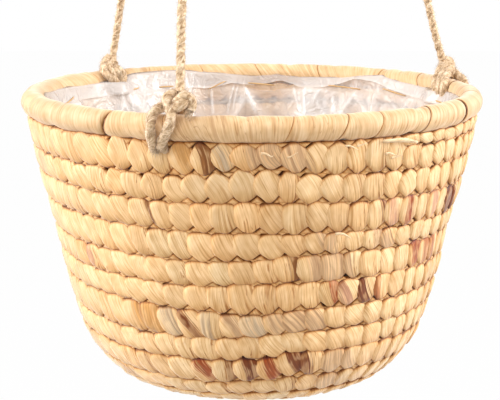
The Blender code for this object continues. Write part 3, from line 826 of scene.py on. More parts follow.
bed = braid_bed("braid_bed")
braid_back = grown(placed_points("braid_back_places", inner_rows), plait,
                   {"Lobe Size": 1.0, "Husk": plait_husk}, "braid_back")
for piece in (braid_face, bed, braid_back, loose_husks("loose_husks")):
    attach(piece, "basket")
    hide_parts("coiled_braid")
for thing in list(lobe_shapes.objects):
    bpy.data.objects.remove(thing)
bpy.data.collections.remove(lobe_shapes)


# The twine that sews each turn of the braid to the next, in the groove behind the
# seam. It is thin, dull and waxed brown.

def dress(node, colour, roughness):
    """Gives a CAD node a plain finish."""
    data = frame["nodes"][node].data
    data.materials.clear()
    data.materials.append(new_finish(node + "_finish", Base_Color=(*colour, 1.0),
                                     Roughness=roughness)[0])


dress("sewing_thread", (0.42, 0.28, 0.14), 0.8)


# The rim: a hoop of bundled husk, wrapped with broad smooth strips of pale husk.
# Each strip goes once round the roll, a little slanted, and tucks under the next.

# Where each strip starts, and how far its edge slants over the roll in degrees
WRAP_EDGE_ANGLES = (205.0, 235.0, 250.5, 278.0, 290.5, 299.5, 314.0, 331.0, 352.0, 371.0,
                    390.0, 408.0, 428.0, 447.0, 465.0, 484.0, 503.0, 523.0, 544.0)
WRAP_SLANTS = (1.5, 0.6, -1.0, 1.2, 1.5, 1.2, 1.6, 1.0, -1.2, 1.5, 2.0, -1.0, 1.5, 2.0, 1.2,
               -1.5, 2.0, 1.2, 1.5)
DEEP_CREASES = (235.0, 331.0)
WRAP_STRAW = (0.675, 0.452, 0.240)
STRIP_STEPS, STRIP_SIDES, STRIP_DENTS = 26, 30, 5
STRIP_SINK = 0.0008          # of a strip's face under the roll's radius, before it swells
STRIP_ROUGHNESS = 0.0003
# Where a strip starts, how far it dips and over what length. Where it stops, how far it
# rolls in, and how far it laps over the next strip in degrees
DEEP_TUCK, PLAIN_TUCK, TUCK_LENGTH = 0.0030, 0.0012, 0.0026
DEEP_ROLL, PLAIN_ROLL, ROLL_LENGTH = 0.0034, 0.0010, 0.0034
DEEP_LAP, PLAIN_LAP = -0.1, 0.8
# How dark a strip's edges are painted: brown, with painted shade in the tucks, darkest in the deep
# creases
DEEP_CREASE_SHADE, PLAIN_DARKNESS = 1.5, 1.0
DARK_START, DARK_STOP = 0.0018, 0.0030   # lengths over which the edges' brown and painted shade fade

rim_husk = husk_finish("rim_husk", grain_angle=math.radians(-15), spread=math.radians(14),
                       pleats=0.50, relief=0.00046, fineness=0.80, contrast=0.72)
dress("rim_hoop", (0.32, 0.18, 0.08), 0.8)


def rim_strip(index, start, stop, slant, next_slant):
    """One strip: a bowed band round the roll, with its edges drawn in and painted brown, darker as
    painted shade in the tucks and the deep creases.
    """
    rng = random.Random(500 + index)
    along, sides = STRIP_STEPS, STRIP_SIDES
    verts, uvs, edges = [], [], []
    width = math.radians(stop - start) * RIM_RADIUS
    swell = rng.uniform(0.0005, 0.0010)
    tuck = DEEP_TUCK if start in DEEP_CREASES else PLAIN_TUCK
    roll, lap = (DEEP_ROLL, DEEP_LAP) if stop in DEEP_CREASES else (PLAIN_ROLL, PLAIN_LAP)
    start_dark, stop_dark = (DEEP_CREASE_SHADE if edge in DEEP_CREASES else PLAIN_DARKNESS
                             for edge in (start, stop))
    dents = [(rng.uniform(0.1, 0.9), rng.uniform(0, 2 * math.pi), rng.uniform(0.05, 0.12),
              rng.uniform(0.0003, 0.0009)) for _ in range(STRIP_DENTS)]
    for i in range(along + 1):
        share = 0.5 - 0.5 * math.cos(math.pi * i / along)
        from_start, from_stop = share * width, (1 - share) * width
        for j in range(sides):
            tilt = 2 * math.pi * j / sides - math.pi / 2
            first = start + slant * math.sin(tilt)
            last = stop + next_slant * math.sin(tilt) + lap
            angle = first + (last - first) * share
            bulge = math.sin(math.pi * share) ** 0.4
            reach = RIM_ROLL_RADIUS - STRIP_SINK + swell * max(bulge, 0.75 * (share < 0.3))
            reach -= tuck * 0.3 * max(1 - from_start / TUCK_LENGTH, 0.0) ** 2
            reach -= roll * max(1 - from_stop / ROLL_LENGTH, 0.0) ** 2
            for at, facing, broad, deep in dents:
                off = math.atan2(math.sin(tilt - facing), math.cos(tilt - facing))
                reach -= deep * math.exp(-((share - at) / broad) ** 2 - (off / 1.9) ** 2)
            rough = noise.noise(Vector((angle * 0.11, math.cos(tilt), math.sin(tilt))))
            reach += STRIP_ROUGHNESS * rough
            verts.append(around(angle, RIM_RADIUS + reach * math.cos(tilt),
                                RIM_CENTRE_Z + reach * math.sin(tilt)))
            uvs.append((share * width, (tilt + math.pi / 2) * RIM_ROLL_RADIUS))
            # Painted shade at the strip's edges, where they tuck under, darker in the deep creases
            dark = max(start_dark * (1 - from_start / DARK_START),
                       stop_dark * (1 - from_stop / DARK_STOP), 0.0)
            edges.append(min(dark, 1.0))
    faces = [(i * sides + j, (i + 1) * sides + j, (i + 1) * sides + (j + 1) % sides,
              i * sides + (j + 1) % sides) for i in range(along) for j in range(sides)]
    light = rng.gauss(1.0, 0.055)
    made = painted(husk_object(f"rim_strip_{index + 1:02d}", verts, faces, uvs, edges,
                               2 * math.pi * RIM_ROLL_RADIUS),
                   [c * light for c in WRAP_STRAW], rng.random(), rim_husk)
    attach(made, "basket")
    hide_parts(f"rim_wrap_{index + 1:02d}")


spans = list(zip(WRAP_EDGE_ANGLES, (*WRAP_EDGE_ANGLES[1:], WRAP_EDGE_ANGLES[0] + 360.0)))
for index, (start, stop) in enumerate(spans):
    rim_strip(index, start, stop, WRAP_SLANTS[index], WRAP_SLANTS[(index + 1) % len(spans)])


# The liner: a bag of thin milky film, pushed down into the tub so that it crumples.
# Its top is turned over into a hem, and comes up inside the rim to half its height.

FILM_INSET = BRAID_THICKNESS + 0.0012
FILM_RIM_RADIUS = RIM_RADIUS - RIM_ROLL_RADIUS - 0.0001
FILM_RISE = 0.0090           # of the film's top over the underside of the rim
FILM_SIDES, FILM_ROWS, HEM_ROWS = 520, 92, 8
GUESSED_RIDGES = 34
BACK_CROWDING = 34.4         # in degrees: the columns stand closer at the back
CLEAR_ANGLE = 84.0           # where the hem is clear and lies tight on the wall
# Depth of the hem's free edge in mm, by angle
HEM_DEPTHS = ((0, 9.0), (20, 10.0), (40, 7.0), (55, 1.8), (62.5, 5.8), (67, 8.1), (73.6, 8.7),
              (76.5, 6.0), (80, 4.1), (84, 6.0), (89, 7.2), (96.6, 6.8), (101.6, 10.5),
              (105, 13.0), (113, 10.5), (122, 12.8), (133, 13.0), (145, 12.0), (160, 10.0),
              (180, 8.0), (210, 11.0), (250, 7.5), (300, 10.5), (330, 7.0), (360, 9.0))
# Sharp folds: angle at the top and the foot, depth of both ends, height and half width in mm
PLACED_RIDGES = ((95.8, 98.2, 9, 32, 1.2, 0.6), (94.6, 96.4, 10, 30, 0.8, 0.5),
                 (92.7, 88.8, 9, 34, 0.7, 0.9), (76.4, 73.0, 10, 34, 1.2, 0.6),
                 (71.9, 71.4, 11, 32, 0.7, 0.8), (66.6, 68.2, 12, 21, 1.0, 0.7),
                 (68.2, 64.0, 21, 34, 1.2, 0.7), (66.6, 62.6, 12, 17, 0.9, 0.7),
                 (62.6, 60.4, 17, 33, 1.0, 0.8), (139, 135, 10, 28, 1.2, 0.9),
                 (134, 133, 14, 29, 0.8, 0.8), (108, 103.4, 10, 14, 1.0, 0.7),
                 (103.4, 103.1, 14, 33, 1.2, 0.7), (122, 117, 16, 34, 0.8, 0.8))
LOOP_ANGLES = (137.0, 19.0, 251.0)   # where the film lies over the ropes' loops
# Rise of the film's top edge in mm, by angle
FILM_EDGE = ((0, 0.8), (28, -1.8), (40, 0.6), (46, 3.0), (60, -1.2), (75, -2.2), (82, -0.2),
             (90, -1.8), (100, 0.6), (112, 3.0), (130, 3.6), (136, 0.6), (145, 0.0), (160, 0.3),
             (180, 2.4), (190, 3.2), (205, 0.4), (330, -0.6), (360, 0.8))


def guessed_ridges():
    """Sharp folds on the sides that the photo doesn't show, in the same measures."""
    rng = random.Random(31)
    ridges = []
    for _ in range(GUESSED_RIDGES):
        top = rng.uniform(150.0, 410.0)
        ridges.append((top, top + rng.gauss(0.0, 4.0), rng.uniform(8, 60), rng.uniform(70, 150),
                       rng.uniform(0.6, 1.5), rng.uniform(0.7, 1.2)))
    return ridges


film_ridges = (*PLACED_RIDGES, *guessed_ridges())


def ridges_at(angle, depth):
    """How far the sharp folds stand up here, in metres, and how near their tops are."""
    height, nearness = 0.0, 0.0
    for top, foot, start, end, high, half in film_ridges:
        t = (depth * 1000 - start) / (end - start)
        if -0.1 < t < 1.1:
            aside = ((angle - top - (foot - top) * t + 180.0) % 360.0 - 180.0) * 2.2 / half
            if abs(aside) < 3.0:
                part = math.exp(-abs(aside) ** 1.5) * min(1.0, 5 * (t + 0.1), 5 * (1.1 - t))
                height = max(height, high * 0.001 * part)
                nearness = max(nearness, part)
    return height, nearness


CRUMPLE_SEED = 13
noise.seed_set(CRUMPLE_SEED)   # without it Blender's noise vectors change with the clock
FACETS_PER_METRE, FINE_FACETS_PER_METRE = 30.0, 62.0
FACET_DEPTH, CREASE_HEIGHT, FINE_DEPTH = 0.0085, 0.0040, 0.0013
CREASE_SHARPNESS = 2.6
FACET_TALLNESS = 0.45        # share of a facet's width over its height
BENDS_PER_METRE, BEND = 14.0, 0.014      # of the facets' outlines
SWELLS_PER_METRE, SWELL = 9.0, 0.6       # of how strongly the film is crumpled
CRUMPLE_RADIUS = 0.13        # at which the facets are laid out round the tub


def crumple(angle, depth):
    """How far the film stands off the wall: flat facets with sharp creases between."""
    place = around(angle, CRUMPLE_RADIUS, -depth)
    bent = place + noise.noise_vector(place * BENDS_PER_METRE) * BEND
    upright = Vector((bent.x, bent.y, bent.z * FACET_TALLNESS))
    near = noise.voronoi(upright * FACETS_PER_METRE + Vector((3.0, 1.0, 2.0)))[0]
    fine = noise.voronoi(bent * FINE_FACETS_PER_METRE)[0]
    ridge = (1 - min((near[1] - near[0]) * CREASE_SHARPNESS, 1.0)) ** 2
    swell = noise.noise(place * SWELLS_PER_METRE) * SWELL + SWELL
    return FACET_DEPTH * swell * near[0] + CREASE_HEIGHT * ridge * swell + FINE_DEPTH * fine[0]


LIP_LEAN, LIP_DEPTH = 0.0014, 0.0012     # of the top edge, out onto the roll
EDGE_FADE = 0.012            # depth at which the top edge's rise dies out
EDGE_WAVER = 0.0010
LEAN_DEPTH = 0.006           # over which the film passes from the roll to the wall
LOOP_STAND, LOOP_SPREAD = 0.0085, 4.6    # of the film off a rope's loop, in metres and degrees
LOOP_SHARE = 0.85            # of that stand, by which the film there moves in
LOOP_START, LOOP_FOOT, LOOP_FADE = 0.0016, 0.020, 0.012   # depths where it begins and ends


def film_point(angle, depth, inwards):
    """A point of the film at a depth below its top edge, which leans on the rim's roll."""
    inwards -= LIP_LEAN * max(1 - depth / LIP_DEPTH, 0.0)
    rise = float(np.interp(angle % 360.0, *zip(*FILM_EDGE))) * math.exp(-(depth / EDGE_FADE) ** 2)
    depth += EDGE_WAVER * noise.noise(around(angle, 4.0, 7.0)) - rise * 0.001
    wall_radius, wall_z = tub.point(min(max(depth - FILM_RISE, 0.0), tub.length),
                                    FILM_INSET + inwards)
    rim_z = RIM_UNDER_Z + FILM_RISE - depth
    share = min(max((depth - FILM_RISE) / LEAN_DEPTH, 0.0), 1.0)
    for route in LOOP_ANGLES:
        aside = (angle - route + 180.0) % 360.0 - 180.0
        over_loop = LOOP_STAND * math.exp(-(aside / LOOP_SPREAD) ** 2)
        over_loop *= min(max(depth / LOOP_START, 0.0), 1.0)
        inwards += LOOP_SHARE * over_loop * math.exp(
            -(max(depth - LOOP_FOOT, 0.0) / LOOP_FADE) ** 2)
    radius = (FILM_RIM_RADIUS - inwards) * (1 - share) + wall_radius * share
    return around(angle, max(radius, 0.0), rim_z * (1 - share) + wall_z * share)


HEM_CRUMPLE, HEM_STAND = 0.40, 0.0022    # share of the film's crumples, and its free edge's stand
HEM_GAP = 0.0002             # between the hem and the film behind it
HEM_MILK, EDGE_MILK, LOST_MILK = 0.36, 0.20, 0.34   # the hem's, its edge's, where it is clear
HEM_CLEARING, WALL_CLEARING, TIGHT_WIDTH = 15.0, 14.0, 8.0   # in degrees
TIGHTNESS, TIGHT_BELOW, TIGHT_HEIGHT = 0.8, 0.003, 0.0045    # of the film just under the hem
CLEAR_WALL_ANGLE = 86.0
ROW_CROWDING = 1.15          # the rows stand closer near the top
FOLDS_FROM, FOLDS_END = 0.014, 0.035     # depth, and distance from the base's middle
MILK_STAND = 0.014           # off the wall, over which the film grows milky


def film_bag():
    """The bag as rows of points from the hem's free edge over the top and down the wall.

    The columns stand closer at the back, where the photo looks into the tub. The milk attribute
    says how milky each point is; along the sharp folds it is raised, partly as folded film and
    partly as painted highlight.
    """
    turns, deepest = FILM_SIDES, tub.length + FILM_RISE
    angles = [x + BACK_CROWDING * math.cos(math.radians(x))
              for x in np.arange(turns) * 360.0 / turns]
    hem_depths = [0.001 * float(np.interp(angle % 360.0, *zip(*HEM_DEPTHS))) for angle in angles]
    rows, milk = [], []
    for i in range(HEM_ROWS):       # up the hem, which lies inside the bag
        share = 1 - i / HEM_ROWS
        rows.append([])
        for angle, hem in zip(angles, hem_depths):
            depth = hem * share
            inwards = HEM_GAP + crumple(angle, depth) * HEM_CRUMPLE * share
            inwards += HEM_STAND * share ** 1.5
            rows[-1].append(film_point(angle, depth, inwards))
            clear = math.exp(-((angle % 360.0 - CLEAR_ANGLE) / HEM_CLEARING) ** 2)
            milk.append(HEM_MILK + EDGE_MILK * share ** 6 - LOST_MILK * clear)
    for i in range(FILM_ROWS):      # down the wall and over the base
        depth = deepest * (i / FILM_ROWS) ** ROW_CROWDING
        rows.append([])
        for angle, hem in zip(angles, hem_depths):
            height, nearness = ridges_at(angle % 360.0, depth)
            tight = math.exp(-((angle % 360.0 - CLEAR_ANGLE) / TIGHT_WIDTH) ** 2
                             - ((depth - hem - TIGHT_BELOW) / TIGHT_HEIGHT) ** 2)
            inwards = (crumple(angle, depth) * (1 - TIGHTNESS * tight) + height) * min(
                depth / FOLDS_FROM, 1.0) * min((deepest - depth) / FOLDS_END, 1.0)
            rows[-1].append(film_point(angle, depth, inwards))
            clear = math.exp(-((angle % 360.0 - CLEAR_WALL_ANGLE) / WALL_CLEARING) ** 2)
            # Milkier along the sharp folds: partly folded film, partly painted highlight
            milk.append(min(max(0.20 + inwards / MILK_STAND - 0.5 * tight - 0.25 * clear, 0.0)
                            + 0.45 * nearness, 1.0))
    last = (len(rows) - 1) * turns
    faces = [*ring_faces(len(rows), turns), tuple(last + n for n in range(turns))]
    data = bpy.data.meshes.new("film_bag")
    data.from_pydata([p for row in rows for p in row], [], faces)
    data.shade_smooth()
    data.attributes.new("milk", "FLOAT", "POINT").data.foreach_set("value", milk)
    made = bpy.data.objects.new("film_bag", data)
    bpy.context.collection.objects.link(made)
    return made


FILM_TONES = ((0.0, (0.70, 0.62, 0.565)), (0.35, (0.84, 0.775, 0.73)), (0.9, (0.90, 0.865, 0.84)))
CLEAREST_ALPHA, MILKIEST_ALPHA = 0.34, 0.89


def film_finish():
    """Milky film: glossy, with fine wrinkles, clearer where it lies on the wall."""
    made, tree, shader = new_finish("milky_film", Roughness=0.14, Specular_IOR_Level=0.7)
    milk = attribute_in(tree, "milk")
    tree.links.new(shaded(tree, milk, *FILM_TONES), shader.inputs["Base Color"])
    tree.links.new(calc(tree, "MULTIPLY_ADD", milk, MILKIEST_ALPHA - CLEAREST_ALPHA,
                        CLEAREST_ALPHA), shader.inputs["Alpha"])
    place = node_in(tree, "ShaderNodeTexCoord").outputs["Object"]
    coarse = cloudy(tree, 90.0, 3.0, Vector=place, Distortion=0.8)
    creases = calc(tree, "ABSOLUTE", calc(tree, "SUBTRACT", coarse, 0.5))
    raised(tree, shader, step_between(tree, creases, 0.0, 0.16), 0.0009, 0.55)
    return made


film = film_bag()
film.data.materials.append(film_finish())
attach(film, "basket")
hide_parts("plastic_liner")


# One strand of raffia runs in and out through the hem and the wall, and shows
# inside as a row of flat stitches of unlike lengths.

STITCH_LENGTH = 0.015
STITCH_DROP = 0.0022
STITCH_STEPS = 9
STITCH_HALF_WIDTH = 0.00055
STITCH_BOW = 0.0018
STITCH_STAND = 0.0022        # off the film
STITCH_TAPER = 0.35          # of its width, at its ends
# Each stitch: its angle, its length as a share and its slope
STITCHES = ((14, 1.2, 0.0), (39, 1.7, -0.5), (59, 2.0, -0.2), (87, 1.5, -0.3), (101, 1.0, 1.0),
            (119, 0.95, 0.0), (131, 0.75, 0.3), (163, 1.1, 0.5), (200, 1.1, 0.2),
            (236, 1.2, -0.4), (274, 1.1, 0.3), (315, 1.2, -0.2))

raffia = new_finish("raffia", Base_Color=(0.62, 0.38, 0.165, 1.0), Roughness=0.55)[0]


def stitch(index, angle, length_share, slope):
    """One flat stitch, bowed off the film. Its section has five corners."""
    steps = STITCH_STEPS
    spread = math.degrees(STITCH_LENGTH * length_share / RIM_RADIUS) / 2
    verts = []
    for i in range(steps + 1):
        t = 2 * i / steps - 1
        bow = STITCH_BOW * (1 - t ** 4) + 0.0006
        half = STITCH_HALF_WIDTH * (1 - STITCH_TAPER * t ** 2)
        drop = STITCH_DROP + slope * t * 0.003
        for inwards, side in ((bow, -half), (bow + 0.0003, -half * 0.4), (bow + 0.0003, half * 0.4),
                              (bow, half), (bow - 0.0005, 0.0)):
            radius, z = tub.point(drop + side, FILM_INSET + STITCH_STAND + inwards)
            verts.append(around(angle + spread * t, radius, z))
    faces = [*ring_faces(steps + 1, 5), tuple(range(5)),
             tuple(steps * 5 + j for j in reversed(range(5)))]
    made = painted(husk_object(f"raffia_stitch_{index + 1:02d}", verts, faces,
                               [(0.0, 0.0)] * len(verts), [0.0] * len(verts)),
                   (1.0, 1.0, 1.0), 0.5, raffia)
    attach(made, "basket")
    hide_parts(f"liner_stitch_{index + 1:02d}")


for index, place in enumerate(STITCHES):
    stitch(index, *place)


# The ropes: two-ply jute cord, soft and hairy. Each is tied round the rim with a
# hitch, and the three are gathered in one knot under the hanging loop.

ROPE_DIAMETER = 0.0055
ROPE_LAY = 0.0155            # for one full turn of the two plies
ROPE_SIDES = 16
STEPS_IN_LAY = 14.0
HAIRS, HAIR_LENGTH = 300000.0, 0.0022            # to a square metre of the ropes
HITCH_HAIRS, HITCH_HAIR_LENGTH = 420000.0, 0.0026
HAIR_TIP, HAIR_FOOT = 0.00002, 0.00006           # radii
HAIR_LEAN = (1.4, 1.4, 3.1)                      # at most, in radians about each axis
HAIR_SEED = 11
UNEVEN_PER_METRE, UNEVEN_TWIST = 42.0, 5.0       # of the lay, in waves and radians
PLY_OFFSET, PLY_RADIUS = 0.088, 0.410   # of the rope's diameter
PLY_LAP = 0.004              # round half a ply, for the fibres' grain
GROOVE_POWER = 10.0          # how narrow the shade between the plies is
KNOT_Z = -0.048
TOP_KNOT_RADIUS = 0.0125
# Each rope from its knot on the rim: angle, radius and height over the rim's top
ROPE_ROUTES = {
    "front": ((253.2, 0.1410, 0.0125), (252.7, 0.1360, 0.0300), (251.8, 0.1275, 0.0600),
              (251.3, 0.1130, 0.1030), (251.0, 0.0912, 0.1580), (251.0, 0.0655, 0.2160),
              (251.0, 0.0372, 0.2760), (251.0, 0.0075, 0.3375)),
    "back_left": ((135.0, 0.1422, 0.0085), (135.0, 0.1370, 0.0280), (135.0, 0.1284, 0.0600),
                  (135.0, 0.1135, 0.1030), (135.0, 0.0914, 0.1580), (135.0, 0.0657, 0.2160),
                  (135.0, 0.0373, 0.2760), (135.0, 0.0075, 0.3375)),
    "right": ((23.0, 0.1432, 0.0105), (23.0, 0.1365, 0.0300), (23.0, 0.1280, 0.0590),
              (23.0, 0.1132, 0.1030), (23.0, 0.0912, 0.1580), (23.0, 0.0656, 0.2160),
              (23.0, 0.0372, 0.2760), (23.0, 0.0075, 0.3375)),
}


FIBRE_SLANT = math.radians(34)
JUTE_GRAIN = (240.0, 1050.0, 1.0)
TUFTS_PER_METRE = 560.0
JUTE_TONES = ((0.32, (0.32, 0.19, 0.095)), (0.46, (0.66, 0.475, 0.29)), (0.64, (0.92, 0.75, 0.56)))
TUFT_TONES = ((0.36, (0.78, 0.72, 0.64)), (0.50, (1.0, 1.0, 1.0)), (0.64, (1.12, 1.13, 1.14)))
# Painted shade in the groove between the two plies
GROOVE_SHADE = (0.50, 0.38, 0.27, 1.0)


def jute_finish():
    """Jute: fibres that follow the twist, light and dark, with a dull face and painted shade in the
    groove between the plies.
    """
    made, tree, shader = new_finish("jute", Roughness=0.85, Specular_IOR_Level=0.2,
                                    Sheen_Weight=0.3, Sheen_Roughness=0.5)
    place = node_in(tree, "ShaderNodeCombineXYZ", {
        "X": attribute_in(tree, "along"), "Y": attribute_in(tree, "lap")}).outputs["Vector"]
    slanted = node_in(tree, "ShaderNodeVectorRotate", {"Vector": place, "Angle": FIBRE_SLANT},
                      rotation_type="Z_AXIS").outputs["Vector"]
    fibres = cloudy(tree, 1.0, 4.0, Roughness=0.62,
                    Vector=vector_calc(tree, "MULTIPLY", slanted, JUTE_GRAIN))
    spot = node_in(tree, "ShaderNodeTexCoord").outputs["Object"]
    tufts = cloudy(tree, TUFTS_PER_METRE, 2.0, Vector=spot)
    tufted = toned(tree, shaded(tree, fibres, *JUTE_TONES), tufts, TUFT_TONES)
    # Painted shade in the groove between the plies
    deep = mixed(tree, tufted, GROOVE_SHADE, calc(tree, "MULTIPLY", attribute_in(tree, "groove"),
                                                 0.60), "MULTIPLY")
    tree.links.new(deep, shader.inputs["Base Color"])
    raised(tree, shader, calc(tree, "MULTIPLY_ADD", tufts, 0.5, fibres), 0.00050)
    return made


def rope_tree():
    """Sweeps the two plies along a line of points, twisted, with loose hairs."""
    tree, start = new_tree("twisted_rope", Diameter="Float", Lay="Float", Hairs="Float",
                           Hair_Length="Float", Jute="Material")

    def stored(geometry, key, value):
        return node_in(tree, "GeometryNodeStoreNamedAttribute", {
            "Geometry": geometry, "Name": key, "Value": value}, data_type="FLOAT",
            domain="POINT").outputs["Geometry"]

    line = node_in(tree, "GeometryNodeMeshToCurve", {"Mesh": start["Geometry"]})
    step = calc(tree, "DIVIDE", start["Lay"], STEPS_IN_LAY)
    evenly = node_in(tree, "GeometryNodeResampleCurve", {
        "Curve": line.outputs["Curve"], "Length": step}, mode="LENGTH")
    reach = node_in(tree, "GeometryNodeSplineParameter").outputs["Length"]
    uneven = cloudy(tree, UNEVEN_PER_METRE, 1.0)
    turned = calc(tree, "MULTIPLY_ADD", uneven, UNEVEN_TWIST, calc(
        tree, "MULTIPLY", calc(tree, "DIVIDE", reach, start["Lay"]), 2 * math.pi))
    tilt = node_in(tree, "GeometryNodeSetCurveTilt", {"Curve": evenly.outputs["Curve"],
                                                      "Tilt": turned})
    line = stored(tilt.outputs["Curve"], "along", reach)
    circle = node_in(tree, "GeometryNodeCurvePrimitiveCircle", {"Resolution": ROPE_SIDES,
                                                                "Radius": 1.0})
    index = node_in(tree, "GeometryNodeInputIndex").outputs[0]
    spot = calc(tree, "MULTIPLY", index, 2 * math.pi / ROPE_SIDES)
    cosine = calc(tree, "ABSOLUTE", calc(tree, "COSINE", spot))
    sine = calc(tree, "SINE", spot)
    inner = times(tree, sine, sine, PLY_OFFSET ** 2)
    bulge = calc(tree, "MULTIPLY_ADD", cosine, PLY_OFFSET, calc(
        tree, "SQRT", calc(tree, "SUBTRACT", PLY_RADIUS ** 2, inner)))
    here = node_in(tree, "GeometryNodeInputPosition").outputs[0]
    shaped = node_in(tree, "GeometryNodeSetPosition", {
        "Geometry": circle.outputs["Curve"],
        "Position": vector_calc(tree, "SCALE", here, Scale=calc(
            tree, "MULTIPLY", bulge, start["Diameter"]))}).outputs["Geometry"]
    shaped = stored(shaped, "lap", calc(tree, "MULTIPLY", cosine, PLY_LAP))
    shaped = stored(shaped, "groove", calc(tree, "POWER", calc(tree, "ABSOLUTE", sine),
                                           GROOVE_POWER))
    sweep = node_in(tree, "GeometryNodeCurveToMesh", {
        "Curve": line, "Profile Curve": shaped, "Fill Caps": True}).outputs["Mesh"]
    smooth = node_in(tree, "GeometryNodeSetShadeSmooth", {"Geometry": sweep})
    scatter = node_in(tree, "GeometryNodeDistributePointsOnFaces", {
        "Mesh": sweep, "Density": start["Hairs"], "Seed": HAIR_SEED})
    hair = node_in(tree, "GeometryNodeMeshCone", {
        "Vertices": 3, "Radius Top": HAIR_TIP, "Radius Bottom": HAIR_FOOT,
        "Depth": start["Hair Length"]})
    lean = node_in(tree, "FunctionNodeRandomValue", data_type="FLOAT_VECTOR")
    lean.inputs["Min"].default_value = [-most for most in HAIR_LEAN]
    lean.inputs["Max"].default_value = HAIR_LEAN
    spin = node_in(tree, "FunctionNodeRotateRotation", {
        "Rotation": scatter.outputs["Rotation"], "Rotate By": lean.outputs["Value"]},
        rotation_space="LOCAL")
    hairs = node_in(tree, "GeometryNodeInstanceOnPoints", {
        "Points": scatter.outputs["Points"], "Instance": hair.outputs["Mesh"],
        "Rotation": spin.outputs["Rotation"]})
    both = node_in(tree, "GeometryNodeJoinGeometry", {"Geometry": smooth.outputs["Geometry"]})
    tree.links.new(hairs.outputs["Instances"], both.inputs["Geometry"])
    end_tree(tree, both.outputs["Geometry"], start["Jute"])
    return tree


jute = jute_finish()
twisted_rope = rope_tree()


def rope_along(name, points, diameter=ROPE_DIAMETER, hairs=HAIRS, hair_length=HAIR_LENGTH):
    """A length of rope through these points, as a plain mesh."""
    data = bpy.data.meshes.new(name + "_line")
    data.from_pydata([tuple(p) for p in points], [(i, i + 1) for i in range(len(points) - 1)], [])
    host = bpy.data.objects.new(name + "_line", data)
    bpy.context.collection.objects.link(host)
    return grown(host, twisted_rope, {
        "Diameter": diameter, "Lay": ROPE_LAY * diameter / ROPE_DIAMETER, "Hairs": hairs,
        "Hair Length": hair_length, "Jute": jute}, name)


knot_centre = Vector((0.0, 0.0, KNOT_Z))
for side, route in ROPE_ROUTES.items():
    points = [around(angle, r, z + RIM_TOP_Z) for angle, r, z in route]
    towards = (points[-1] - knot_centre).normalized()
    points[-1] = knot_centre + towards * (TOP_KNOT_RADIUS - 0.0025)
    points = smooth_through(points, 8)
    rope = rope_along(f"jute_rope_{side}", points)
    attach(rope, "basket")
    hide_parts(f"rope_{side}")


# The knots on the rim: each rope goes round the roll more than once, through the wall
# under it, and is hitched round itself on top. Its cut end frays out beside the knot.

